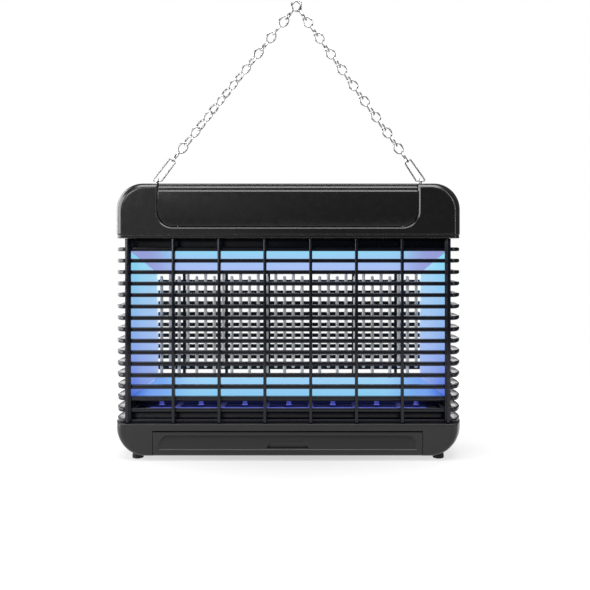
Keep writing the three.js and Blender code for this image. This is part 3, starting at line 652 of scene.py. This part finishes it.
def make_floor():
    """A pale plane. It glows more away from the object, so that it runs into the white backdrop; its
    dimmer glow near the object is a painted soft shadow.
    """
    mesh = bpy.data.meshes.new("floor")
    rim = [(x * FLOOR_REACH, y * FLOOR_REACH, 0) for x, y in ((-1, -1), (1, -1), (1, 1), (-1, 1))]
    mesh.from_pydata(rim, [], [(0, 1, 2, 3)])
    floor = linked("floor", mesh)
    n = Nodes("floor_paper_painted_shadow")
    fibre = n.noise(500, 3)
    # painted shadow: the floor's glow is dimmest near the object and rises to full white across this oval
    oval = n.add("ShaderNodeVectorMath", {0: n.place, 1: PAINTED_SHADOW_REACH}, operation="DIVIDE")
    distance = n.add("ShaderNodeVectorMath", {0: oval.outputs["Vector"]}, operation="LENGTH")
    n.shade(
        Base_Color=n.mix(fibre, (0.17, 0.17, 0.17, 1), (0.19, 0.19, 0.19, 1)),
        Emission_Strength=n.span(distance.outputs["Value"], 0.3, 2.4, 0.58, 1.0),
        Emission_Color=(1, 1, 1, 1),
        Roughness=0.6,
        Specular_IOR_Level=0.2,
    )
    mesh.materials.append(n.material)


# ---------- top housing ----------
def mirrored(right):
    """The right half of a front view, closed by its mirror image."""
    return right + [(-x, z) for x, z in reversed(right)]


def housing_outline(depth, inset, lip, foot):
    """Front view of a housing shell at a depth, open at the top for the saddle cover."""
    share = (depth / HALF_DEPTH) ** 2
    half = HALF_WIDTH - SIDE_CROWN * share - inset
    high = TOP_Z - TOP_CROWN * share - inset
    corner = HOUSING_CORNER - inset
    low = HOUSING_MIN.z + foot
    low_corner = 1
    notch = COVER_HALF + lip
    notch_corner = COVER_CORNER + lip
    notch_low = COVER_LOW - lip
    return mirrored([
        *arc(half - low_corner, low + low_corner, low_corner, -90, 0, 3),
        *arc(half - corner, high - corner, corner, 0, 90, 20),
        (notch, high),
        *arc(notch - notch_corner, notch_low + notch_corner, notch_corner, 0, -90, 14),
    ])


def housing_shell(way):
    """A hollow half of the top housing. way is -1 for the front and 1 for the rear."""
    rings = []
    for depth in FACE_DEPTHS + [36, 28, 19, 10, 0.6]:
        fillet = fall(depth, HALF_DEPTH, FACE_FILLET)
        chamfer = max(depth - HALF_DEPTH + NOTCH_EDGE, 0)
        rings.append((depth, housing_outline(depth, fillet, chamfer, fall(depth, HALF_DEPTH, EDGE))))
    seam_edge = 0.35
    rings.append((SEAM, housing_outline(SEAM, seam_edge, 0.2, 0)))
    inner_foot = 1.4
    for depth in (SEAM, 15, 30, HALF_DEPTH - WALL):
        rings.append((depth, housing_outline(depth, WALL, WALL, inner_foot)))
    return Shape(skin([[(x, way * depth, z) for x, z in outline] for depth, outline in rings]))


def eye_slots():
    """Cutters for the slots that the hanger eyes stand up through."""
    half_x, half_y = 1.35, 5.4
    low, high = 290, 320
    return [Shape(block((x - half_x, -half_y, low), (x + half_x, half_y, high), 0.2))
            for x in (-EYE_X, EYE_X)]


def rear_bores():
    """Cutters for the two countersunk screw holes and the pocket of the cord gland."""
    screw_bore = [(0, 0), (2.2, 0), (2.2, 39.5), (4, 39.5), (4, 44.4), (4.8, 45.2), (4.8, 60), (0, 60)]
    pocket = [(0, 30), (6.3, 30), (6.3, 44.3), (7.2, 45.2), (7.2, 60), (0, 60)]
    backwards = (0, 1, 0)
    bores = [Shape(turned(screw_bore, (x, 0, SCREW_Z), backwards)) for x in (-SCREW_X, SCREW_X)]
    return bores + [Shape(turned(pocket, (GLAND_X, 0, GLAND_Z), backwards))]


def make_housing():
    """Both shells of the top housing."""
    for end, way in ENDS:
        replaced = [f"top_housing_{end}"]
        shell = piece(f"top_shell_{end}", housing_shell(way), BLACK, replaced)
        carve(shell, eye_slots() + (rear_bores() if end == "rear" else []))


def make_screws():
    """Pan-head screws with a cross recess, in the rear of the housing."""
    profile = [(0, -8), (1.3, -7.6), (1.6, -7), (1.6, 40.2), (3.3, 40.2), (3.5, 40.4), (3.5, 41.4),
               (3.1, 42.1), (2.1, 42.5), (0, 42.6)]
    recess_floor, reach, half_slot = 41.3, 2.1, 0.45
    for name, side in SIDES:
        x = side * SCREW_X
        shape = Shape(turned(profile, (x, 0, SCREW_Z), (0, 1, 0)))
        screw = piece(f"cover_screw_{name}", shape, SCREW_STEEL,
                      [f"housing_screw_{name}"])
        carve(screw, [
            Shape(block((x - a, recess_floor, SCREW_Z - b), (x + a, 50, SCREW_Z + b), 0.1))
            for a, b in ((reach, half_slot), (half_slot, reach))
        ])


def cover_profile(shrink, low):
    """Half of the saddle's section, from its low edge over two ridges to the crown, as (depth, height)."""
    face = -COVER_MIN.y - shrink
    top = COVER_MAX.z - shrink
    step = COVER_STEP - shrink
    edge = [(0.6, 0), (0.18, 0.18), (0, 0.6)]
    ridges = [(0, -0.9), (0.25, 0), (0.9, 0.6), (1.6, 0.9), (1.9, 1.4), (2.0, 3.2), (2.4, 4.4), (3.2, 5.1),
              (4.2, 5.4), (4.6, 5.8), (4.9, 7.3), (6.2, 8.4), (9.5, 9.1)]
    profile = [(face - back, low + up) for back, up in edge]
    profile.append((face, (low + step) / 2))
    profile += [(face - back, step + up) for back, up in ridges]
    return profile + [(26, top - 1.3), (14, top - 0.35), (0, top)]


def cover_stations():
    """Places along X of the saddle's sections, closer together round its corners."""
    half = COVER_MAX.x
    stops = [half, half - 0.03, half - 0.18, half - 0.35, half - COVER_EDGE]
    steps = 12
    for i in range(1, steps + 1):
        back = COVER_CORNER * (1 - math.cos(math.radians(90 * i / steps)))
        if back > EDGE:
            stops.append(half - back)
    stops += [100, 60, 20]
    return stops + [-x for x in reversed(stops)]


def make_cover():
    """The saddle that lies over the middle of the housing, as one bent sheet."""
    loops = []
    for x in cover_stations():
        rise = COVER_CORNER - (COVER_MAX.x - abs(x))
        lift = COVER_CORNER - math.sqrt(COVER_CORNER**2 - rise**2) if rise > 0 else 0
        edge = fall(abs(x), COVER_MAX.x, COVER_EDGE)
        low = COVER_LOW + FIT + lift + edge
        loop = []
        for shrink in (edge, COVER_SHEET - edge * 0.4):
            half = cover_profile(shrink, low)
            section = [(x, -y, z) for y, z in half] + [(x, y, z) for y, z in reversed(half[:-1])]
            loop += section if not loop else reversed(section)
        loops.append(loop)
    piece("saddle_cover", Shape(skin(loops)), BLACK, ["top_cover"])


def floor_outline():
    """Plan of the plate under the housing, counterclockwise from its right front corner."""
    lip = 0.6
    angles = (90, 72, 54, 36, 18, 0)
    depths = [HALF_DEPTH - FACE_FILLET * (1 - math.sin(math.radians(a))) for a in angles]
    depths += [HALF_DEPTH * share for share in (0.7, 0.45, 0.2)]
    rear = []
    for depth in depths:
        crown = SIDE_CROWN * (depth / HALF_DEPTH) ** 2
        x = HALF_WIDTH - crown - fall(depth, HALF_DEPTH, FACE_FILLET) - lip
        rear.append((x, min(depth, HALF_DEPTH - lip)))
    middle = (rear[-1][0] + 0.3, 0)
    side = [(x, -y) for x, y in rear] + [middle] + list(reversed(rear))
    return side + [(-x, y) for x, y in reversed(side)]


def make_floor_plate():
    """The plate that closes the housing, with slots for the insulators' hangers and four board posts."""
    slots = [list(reversed(rounded(x - 6, x + 6, -4, 4, 2))) for x in (-120, 120)]
    stations = round_stations(FLOOR_MIN.z, HOUSING_MIN.z - FIT, 0.6)
    plate = sheet([floor_outline(), *slots], stations)
    low, high = HOUSING_MIN.z - 1, FLOOR_MAX.z
    post = [(0, low), (3.4, low), (3, low + 2), (3, high - 0.4), (2.6, high), (0, high)]
    for x in (-46, 46):
        for y in (-16, 16):
            plate.add(turned(post, (x, y, 0), (0, 0, 1), 24))
    piece("floor_plate", plate, BLACK, ["housing_floor"])


def make_gland():
    """The rubber gland of the mains cord: a hollow barrel with a grooved collar."""
    section = [(3.2, 36), (3.4, 36.4), (3.4, 44.4), (3.7, 44.8), (5.4, 44.8), (5.9, 44.4), (5.9, 43.9),
               (5.3, 43.6), (5.3, 43.2), (5.9, 42.9), (5.9, 41.9), (8.1, 41.8), (8.4, 41.4), (8.4, 38.4),
               (8, 38), (6, 38), (6, 36.4), (5.6, 36)]
    steps = 32
    loops = []
    for i in range(steps):
        a = 2 * math.pi * i / steps
        loops.append([(GLAND_X + r * math.cos(a), y, GLAND_Z + r * math.sin(a)) for r, y in section])
    piece("strain_gland", Shape(skin(loops, closed=True)), RUBBER, ["cord_gland"])


# ---------- base, feet and deck ----------
def base_side(depth, inset, top_edge):
    """The right side of the base at a depth, from its low corner up to its top edge."""
    share = (depth / HALF_DEPTH) ** 2
    half = HALF_WIDTH - SIDE_CROWN * share - inset
    low = BASE_LOW + BOTTOM_CROWN * share + inset
    corner = BASE_CORNER - inset
    high = BASE_TOP - top_edge
    low_turn = arc(half - corner, low + corner, corner, -90, 0, 20)
    return low, low_turn + arc(half - EDGE, high - EDGE, EDGE, 0, 90, 3)


def arch(depth):
    """Front view of the front of the base, open at the bottom for the drawer."""
    edge = fall(depth, HALF_DEPTH, EDGE)
    low, side = base_side(depth, fall(depth, HALF_DEPTH, FACE_FILLET), edge)
    mouth = MOUTH_HALF + edge
    return mirrored([(mouth, MOUTH_TOP + edge), (mouth, low + 8), (mouth, low), *side])


def foot_seats():
    """Cutters for the recesses that hold the feet."""
    seat = [(0, -5), (6.9, -5), (6.9, 4.4), (6.5, 5.0), (6.5, 5.8), (0, 5.8)]
    return [Shape(turned(seat, (x, y, 0), (0, 0, 1)))
            for x in (-FOOT_X, FOOT_X) for y in (-FOOT_Y, FOOT_Y)]


def make_base():
    """The base: its body with the drawer's bay and the well under the deck, and its arched front."""
    loops = []
    for depth in [-MOUTH_BACK, -30, -20, -10, 0, 10, 20, 30, 36] + FACE_DEPTHS[::-1]:
        fillet = fall(depth, HALF_DEPTH, FACE_FILLET)
        side = base_side(depth, fillet, fall(depth, HALF_DEPTH, EDGE))[1]
        loops.append([(x, depth, z) for x, z in mirrored(side)])
    body = piece("base_shell", Shape(skin(loops)), BASE_GREY, ["base_housing"])
    bay = block((-MOUTH_HALF, -60, BIN_LOW - 0.6), (MOUTH_HALF, 41, MOUTH_TOP), 0.2)
    well = block((-WELL_HALF, -WELL_DEPTH, 30), (WELL_HALF, WELL_DEPTH, 60), 0.2)
    carve(body, [Shape(bay), Shape(well), *foot_seats()])
    loops = [[(x, -depth, z) for x, z in arch(depth)] for depth in FACE_DEPTHS + [MOUTH_BACK]]
    piece("base_front", Shape(skin(loops)), BASE_GREY)


def make_plinth():
    """The upstand on the base that carries the deck."""
    outer = rounded(DECK_MIN.x, DECK_MAX.x, DECK_MIN.y, DECK_MAX.y, 1.5)
    inner = list(reversed(rounded(-WELL_HALF, WELL_HALF, -WELL_DEPTH, WELL_DEPTH, 1.5)))
    stations = round_stations(BASE_TOP - 1, DECK_MIN.z - FIT, 0.4)
    ring = sheet([outer, inner], stations)
    piece("deck_plinth", ring, GUARD_BLACK)


def make_feet():
    """Four rubber feet with a hollow tread."""
    radius = (FOOT_MAX.x - FOOT_MIN.x) / 2
    profile = [(0, 0.4), (radius - 2.6, 0.4), (radius - 2.2, 0), (radius - 1, 0), (radius - 0.3, 0.3),
               (radius, 1), (radius, 3.2), (radius - 0.4, 5.2), (radius - 0.8, 5.5), (0, 5.5)]
    for name, side in SIDES:
        for end, way in ENDS:
            shape = Shape(turned(profile, (side * FOOT_X, way * FOOT_Y, 0), (0, 0, 1)))
            piece(f"rubber_foot_{end}_{name}", shape, RUBBER, [f"foot_{end}_{name}"])


def make_deck():
    """The perforated deck: four rows of slots in each bay between two ribs."""
    outlines = [rounded(DECK_MIN.x, DECK_MAX.x, DECK_MIN.y, DECK_MAX.y, 1)]
    half_slot = 22
    for bay in range(-3, 4):
        x = bay * RIB_PITCH
        for y, half in ((-20.5, 3.5), (-8, 6.5), (8, 6.5), (20.5, 3.5)):
            slot = rounded(x - half_slot, x + half_slot, y - half, y + half, 1.2, 3)
            outlines.append(list(reversed(slot)))
    deck = sheet(outlines, round_stations(DECK_MIN.z, DECK_MAX.z, 0.6))
    piece("slotted_deck", deck, DECK_BLACK, ["bottom_deck"])


# ---------- drawer ----------
def ease(value):
    """0 to 1 with a soft start and end."""
    value = min(max(value, 0), 1)
    return value * value * (3 - 2 * value)


def drawer_relief(x, z):
    """How far the drawer front is sunk at a place: the panel with its rounded ends, and the finger pull.
    The panel is deeper at its top, and the finger pull is deeper and wider at its bottom."""
    height = PANEL_TOP_Z - PANEL_LOW_Z
    across = max(abs(x) - PANEL_HALF, 0) / PANEL_END
    up = (z - PANEL_LOW_Z) / height
    inside = (1 - math.hypot(across, max(up, 0))) * height
    slope = 0.4 + 1.1 * min(max(up, 0), 1)
    low_edge = ease((z - PANEL_LOW_Z + 0.8) / 0.8)
    panel = PANEL_SINK * slope * ease(inside / 1.1) * low_edge
    share = (z - FINGER_LOW) / (FINGER_HIGH - FINGER_LOW)
    if not 0 <= share <= 1:
        return panel
    side_edge = ease((FINGER_HALF - 4 * share - abs(x)) / 1.2)
    top_edge = ease((1 - share) / 0.08)
    return panel + (FINGER_DEEP - panel) * (1 - 0.75 * share) * side_edge * top_edge


def drawer_face():
    """Section of the drawer front as (depth, height) pairs, down its face and up its rear."""
    top = TRAY_MAX.z - DRAWER_GAP
    pitch = 0.45
    rows = int((top - ROUND_START - 0.4) / pitch) + 1
    heights = [top - 0.5 - pitch * i for i in range(rows)]
    heights = sorted(set(heights + [FINGER_LOW - 0.05, FINGER_LOW, FINGER_HIGH]), reverse=True)
    profile = [(HALF_DEPTH - 0.6, top), (HALF_DEPTH - 0.18, top - 0.15)]
    profile += [(HALF_DEPTH, z) for z in heights]
    for angle in (15, 30, 45, 60, 75, 90):
        a = math.radians(angle)
        drop = (ROUND_START - DRAWER_LOW) * math.sin(a)
        profile.append((HALF_DEPTH - FACE_FILLET * (1 - math.cos(a)), ROUND_START - drop))
    return profile + [(DRAWER_BACK, z) for z in (DRAWER_LOW, 12, 22, top)]


def make_drawer():
    """The drawer: its front with the sunk relief, and the open bin behind it."""
    half = DRAWER_HALF
    steps = 366
    stops = [-half, -half + 0.12, -half + 0.5]
    stops += [-half + 1 + (2 * half - 2) * i / steps for i in range(steps + 1)]
    stops += [half - 0.5, half - 0.12, half]
    profile = drawer_face()
    loops = []
    for x in stops:
        edge = fall(abs(x), half, 0.5)
        loop = []
        for depth, z in profile:
            sink = drawer_relief(x, z) if depth == HALF_DEPTH else 0
            side_round = edge if depth > DRAWER_BACK else 0
            loop.append((x, -(depth - sink - side_round), z))
        loops.append(loop)
    shape = Shape(skin(loops), drawer_bin())
    piece("insect_drawer", shape, BASE_GREY, ["collection_tray"], "tray", crease=28)


def drawer_bin():
    """The open bin, from its round bottom edge up over the rim and down to its inner floor."""
    low, high = BIN_LOW, TRAY_MAX.z - 2
    outside = [(low, 1.2), (low + 0.35, 0.35), (low + 1.2, 0)]
    rim = [(high - 0.4, 0), (high - 0.1, 0.15), (high, 0.5)]
    rim += [(z, BIN_WALL - inset) for z, inset in reversed(rim)]
    floor = low + BIN_WALL
    inner = [(floor + 1.5, BIN_WALL), (floor + 0.4, BIN_WALL + 0.4), (floor, BIN_WALL + 1.5)]
    loops = []
    for z, inset in outside + rim + inner:
        half = BIN_HALF - inset
        corner = 3 - min(inset, 2) * 0.8
        outline = rounded(-half, half, -DRAWER_BACK + inset, TRAY_MAX.y - inset, corner)
        loops.append([(x, y, z) for x, y in outline])
    return skin(loops)


# ---------- guards ----------
def fin_edge(depth):
    """Half width of a fin's outer edge at a depth."""
    return HALF_WIDTH - FIN_CROWN * (depth / FIN_FRONT) ** 2


def fin_stations():
    """Pairs of outer and inner plan points along a fin, from the right end round to the left."""
    inner_round = 2
    right = []
    for depth in (SEAM, 2.5, 6, 11, 17, 23, 27, FIN_FRONT - FIN_ROUND):
        right.append(((fin_edge(depth), depth), (FIN_INNER_X, min(depth, FIN_BACK - inner_round))))
    for angle in (18, 36, 54, 72, 90):
        a = math.radians(angle)
        depth = FIN_FRONT - FIN_ROUND * (1 - math.sin(a))
        x = fin_edge(depth) - FIN_ROUND * (1 - math.cos(a))
        inner = (FIN_INNER_X - inner_round * (1 - math.cos(a)), FIN_BACK - inner_round * (1 - math.sin(a)))
        right.append(((x, depth), inner))
    right += [((x, FIN_FRONT), (x, FIN_BACK)) for x in (150, 100, 50)]
    left = [((-a, b), (-c, d)) for (a, b), (c, d) in reversed(right)]
    return right + [((0, FIN_FRONT), (0, FIN_BACK))] + left


def fin_section(width, half):
    """Section of a fin as (along, up) pairs: an eased inner edge and a rounded nose."""
    nose = half * 0.4
    lower = [(0, -half + 0.4), (0.4, -half), (width - nose, -half)]
    for angle in (30, 60, 90):
        a = math.radians(angle)
        lower.append((width - nose + nose * math.sin(a), -half + nose * (1 - math.cos(a))))
    return lower + [(u, -v) for u, v in reversed(lower)]


def fin(middle, thick, way):
    """One bowed fin. It thins towards the parting line, as its mould draws it out."""
    full_depth = 27
    loops = []
    for outer, inner in fin_stations():
        inner = Vector(inner)
        across = Vector(outer) - inner
        half = thick / 2 * (FIN_THIN + (1 - FIN_THIN) * ease(outer[1] / full_depth))
        section = fin_section(across.length, half)
        across.normalize()
        places = [(inner + across * u, middle + v) for u, v in section]
        loops.append([(place.x, way * place.y, z) for place, z in places])
    return skin(loops)


def guard(way):
    """A whole guard. way is -1 for the front and 1 for the rear."""
    shape = Shape()
    for i in range(FIN_COUNT):
        middle = FIN_TOP_Z - i * FIN_PITCH
        low = max(middle - FIN_THICK / 2, GUARD_MIN.z)
        high = middle + FIN_THICK / 2
        shape.add(fin((low + high) / 2, high - low, way))
    reach = (RIB_COUNT - 1) / 2 * RIB_PITCH
    strips = [(i * RIB_PITCH - reach, RIB_WIDTH / 2, -GUARD_MIN.y) for i in range(RIB_COUNT)]
    strips += [(x, POST_WIDTH / 2, POST_FRONT) for x in (-reach, reach)]
    rooted = 0.6  # how far the strips reach into the fins
    for x, half, front in strips:
        ends = sorted((way * front, way * (FIN_FRONT - rooted)))
        shape.add(block((x - half, ends[0], GUARD_MIN.z), (x + half, ends[1], GUARD_MAX.z), 0.75))
    return shape


def make_guards():
    """The front and the rear guard."""
    for end, way in ENDS:
        piece(f"fin_guard_{end}", guard(way), GUARD_BLACK, [f"{end}_guard"])


# ---------- lamp frame, panels and boards ----------
def make_lamp_frame():
    """The box round the panels, with the fillets at its sides that the fins butt against."""
    half_x, half_y, top = FRAME_HALF, LAMP_MAX.y, LAMP_MAX.z
    side_foot = BASE_TOP + FIT
    plates = [((-half_x, -half_y, top - FRAME_WALL), (half_x, half_y, top))]
    for way in (-1, 1):
        y0, y1 = sorted((way * half_y, way * (half_y - FRAME_WALL)))
        plates.append(((-half_x + 0.1, y0, WINDOW_TOP), (half_x - 0.1, y1, top - 0.5)))
        x0, x1 = sorted((way * half_x, way * (half_x - FRAME_WALL)))
        plates.append(((x0, -half_y + 0.1, side_foot), (x1, half_y - 0.1, top - 0.5)))
        x0, x1 = sorted((way * (half_x - 1), way * (FIN_INNER_X - FIT)))
        plates.append(((x0, -14, side_foot), (x1, 14, top - 0.4)))
    plates.append(((-half_x + 0.2, -half_y, LAMP_LOW), (half_x - 0.2, half_y, LAMP_LOW + FRAME_WALL)))
    shape = Shape(*[block(low, high) for low, high in plates])
    piece("panel_frame", shape, GUARD_BLACK, ["lamp_frame"])


def make_pegs():
    """The waisted pegs that carry the lamp frame over the deck."""
    low, high = DECK_MAX.z + FIT, LAMP_LOW + 0.5
    profile = [(0, low), (3.4, low), (3.4, 53.4), (2.4, 54.4), (2.4, 60.5), (3.2, high), (0, high)]
    pegs = Shape(*[turned(profile, (x, 0, 0), (0, 0, 1), 20) for x in LEG_SPOTS])
    piece("frame_pegs", pegs, PEG_GREY)


def soften(node, material, width):
    """Keeps a CAD node, with its edges eased and its own material."""
    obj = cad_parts[node]
    obj.data.materials.clear()
    obj.data.materials.append(material)
    bevel = obj.modifiers.new("edges", "BEVEL")
    bevel.width = width * MM
    bevel.segments = 2
    bevel.limit_method = "ANGLE"
    bevel.angle_limit = math.radians(40)


def make_panels():
    """The eight light panels."""
    glow = {"left": SIDE_PANEL, "right": SIDE_PANEL, "top": TOP_PANEL, "bottom": BOTTOM_PANEL}
    for face in ("front", "rear"):
        for place, material in glow.items():
            soften(f"{face}_diffuser_{place}", material, 0.25)


def upright_chips(low, high, place):
    """LED chips in one column on a side board."""
    foot, way = (high.x, 1) if place == "left" else (low.x, -1)
    x0, x1 = sorted((foot, foot + way * CHIP_RISE))
    heights = [low.z + (high.z - low.z) * (i + 0.5) / 12 for i in range(12)]
    return Shape(*[block((x0, -CHIP_HALF, z - CHIP_HALF), (x1, CHIP_HALF, z + CHIP_HALF), 0.3)
                   for z in heights])


def level_chips(low, high, place):
    """LED chips in two rows on the top or bottom board."""
    foot, way = (low.z, -1) if place == "top" else (high.z, 1)
    z0, z1 = sorted((foot, foot + way * CHIP_RISE))
    spots = [(low.x + (high.x - low.x) * (i + 0.5) / 20, y) for i in range(20) for y in (-8, 8)]
    return Shape(*[block((x - CHIP_HALF, y - CHIP_HALF, z0), (x + CHIP_HALF, y + CHIP_HALF, z1), 0.3)
                   for x, y in spots])


def make_boards():
    """The four LED boards with their chips."""
    layouts = {"left": upright_chips, "right": upright_chips, "top": level_chips, "bottom": level_chips}
    for place, layout in layouts.items():
        node = f"led_board_{place}"
        soften(node, BOARD_WHITE, 0.2)
        piece(f"led_chips_{place}", layout(*corners(node), place), LED)


# ---------- grid ----------
def comb(low, high, hanging):
    """Every second rod of the grid on one spine, which is above the rods if they are hanging."""
    spine_z = high - SPINE_HALF if hanging else low + SPINE_HALF
    tip, way = (low, -1) if hanging else (high, 1)
    turn = [math.radians(a) for a in (0, 30, 60)]
    dome = [(ROD_RADIUS * math.cos(a), tip - way * ROD_RADIUS * 0.9 * (1 - math.sin(a))) for a in turn]
    profile = [(0, spine_z), (ROD_RADIUS, spine_z), *dome, (0, tip)]
    spine = [(way * SPINE_REACH, way * SPINE_HALF, spine_z + way * SPINE_HALF) for way in (-1, 1)]
    places = [(k - (ROD_COUNT - 1) / 2) * ROD_PITCH for k in range(1 if hanging else 0, ROD_COUNT, 2)]
    return Shape(block(*spine), *[turned(profile, (x, 0, 0), (0, 0, 1), 16) for x in places])


def make_grid():
    """Both combs, and the insulating bars that hold them."""
    for end in ("upper", "lower"):
        low, high = corners(f"{end}_electrode")
        rods = comb(low.z, high.z, end == "upper")
        piece(f"{end}_rods", rods, ROD_STEEL, [f"{end}_electrode"])
        soften(f"grid_insulator_{end}", CREAM, 0.3)


# ---------- driver ----------
def make_transformer():
    """The CAD's core with the turns of its winding drawn round it."""
    soften("high_voltage_transformer", FERRITE, 0.4)
    low, high = corners("high_voltage_transformer")
    outline = rounded(low.x + 3.6, high.x - 3.6, low.y - 0.6, high.y + 0.6, 5, 6)
    heights = [low.z + 6 + i * 1.0 for i in range(9)]
    winding = Shape(*[wire([Vector((x, y, z)) for x, y in outline], 0.55, 8) for z in heights])
    piece("transformer_winding", winding, COPPER)


def make_capacitor():
    """The capacitor, with the rolled groove of its can."""
    low, high = corners("storage_capacitor")
    centre = (low + high) / 2
    r = (high.z - low.z) / 2
    can = [(0, low.x), (r - 0.8, low.x), (r, low.x + 0.8), (r, low.x + 2), (r - 0.4, low.x + 2.6),
           (r, low.x + 3.2), (r, high.x - 0.8), (r - 0.8, high.x), (0, high.x)]
    shape = Shape(turned(can, (0, centre.y, centre.z), (1, 0, 0)))
    piece("capacitor_can", shape, CREAM, ["storage_capacitor"])


def make_components():
    """The driver board and its small parts, as (x, y, width, depth, height)."""
    soften("driver_board", GREEN_BOARD, 0.15)
    parts = Shape()
    board = corners("driver_board")[1].z
    for x, y, w, d, h in ((45, -16, 8, 6, 5), (45, 12, 10, 10, 7), (14, 18, 6, 5, 4), (26, 18, 6, 5, 4),
                          (-46, 14, 9, 9, 8), (10, -17, 5, 4, 3), (22, -17, 5, 4, 3), (34, -17, 5, 4, 3)):
        parts.add(block((x - w / 2, y - d / 2, board + 0.05), (x + w / 2, y + d / 2, board + h), 0.4))
    piece("board_components", parts, FERRITE)


# ---------- hanging gear ----------
def make_eyes():
    """The two hanger eyes, each a sheet plate with a round head."""
    half, shoulder, head, neck = 8, 298, 5, 0.4
    right = [(head, shoulder), (half - neck, shoulder), (half, shoulder - neck), (half, EYE_MIN.z)]
    outline = [(-y, z) for y, z in right] + list(reversed(right)) + arc(0, PIVOT_Z - 1, head, 0, 180, 20)
    hole = arc(0, PIVOT_Z, 1.7, 0, -342, 19)
    for name, side in SIDES:
        middle = side * EYE_X
        stations = round_stations(middle - 1, middle + 1, 0.3)
        plate = sheet([outline, hole], stations, lambda y, z, x: (x, y, z))
        piece(f"hanging_eye_{name}", plate, CHROME, [f"hanger_eye_{name}"])


def filleted(points, radius, steps=5):
    """A closed flat path through the points, with its corners rounded."""
    path = []
    count = len(points)
    for i, corner in enumerate(points):
        back = (points[i - 1] - corner).normalized()
        ahead = (points[(i + 1) % count] - corner).normalized()
        angle = back.angle(ahead)
        reach = radius / math.tan(angle / 2)
        centre = corner + (back + ahead).normalized() * radius / math.sin(angle / 2)
        first = corner + back * reach - centre
        last = corner + ahead * reach - centre
        for k in range(steps + 1):
            share = k / steps
            direction = first.slerp(last, share)
            path.append(centre + direction)
    return path


def make_bails():
    """The two wire bails, each hooked in an eye and narrowing to the first link."""
    for (name, side), top in zip(SIDES, BAIL_TOPS):
        down = (top - APEX).normalized()
        across = Vector((-down.z, 0, down.x)) * BAIL_TOP_HALF * side
        feet = [Vector((side * x, 0, PIVOT_Z)) for x in (BAIL_OUT, BAIL_IN)]
        path = filleted(feet + [top - across, top + across], BAIL_BEND)
        piece(f"wire_bail_{name}", Shape(wire(path, BAIL_WIRE, 12)), CHROME,
              [f"hanger_bail_{name}"], "chain", crease=60)


def loop_path(centre, u, v):
    """One of a link's two ovals, long along u and wide along v."""
    angles = [2 * math.pi * i / 28 for i in range(28)]
    return [centre + u * LINK_HALF / 2 * math.cos(a) + v * LOOP_HALF_WIDTH * math.sin(a) for a in angles]


def make_chain():
    """Two runs of links, each of two ovals of wire at right angles."""
    depth = Vector((0, 1, 0))
    for (name, side), start, most in zip(SIDES, BAIL_TOPS, TWISTS):
        end = Vector((APEX.x, side * HOOK_GAP, APEX.z))
        u = (end - start).normalized()
        first = start + u * (LINK_HALF - HOOKED)
        last = end - u * LINK_HALF / 2
        for i in range(LINKS_PER_SIDE):
            share = i / (LINKS_PER_SIDE - 1)
            centre = first.lerp(last, share)
            turn = math.radians(most) * math.sin(math.pi * share**0.6)
            twist = Matrix.Rotation(turn, 3, u)
            v = twist @ depth.cross(u).normalized()
            ovals = ((centre - u * LINK_HALF / 2, twist @ depth), (centre + u * LINK_HALF / 2, v))
            shape = Shape(*[wire(loop_path(spot, u, wide), LINK_WIRE) for spot, wide in ovals])
            piece(f"link_{name}_{i + 1:02d}", shape, CHROME,
                  [f"chain_link_{name}_{i + 1:02d}"], "chain", crease=60)


bpy.context.scene.view_settings.view_transform = "Standard"
make_camera()
make_lights()
make_world()
make_floor()
make_housing()
make_screws()
make_cover()
make_floor_plate()
make_gland()
make_base()
make_plinth()
make_feet()
make_deck()
make_drawer()
make_guards()
make_pegs()
make_lamp_frame()
make_panels()
make_boards()
make_grid()
make_transformer()
make_capacitor()
make_components()
make_eyes()
make_bails()
make_chain()
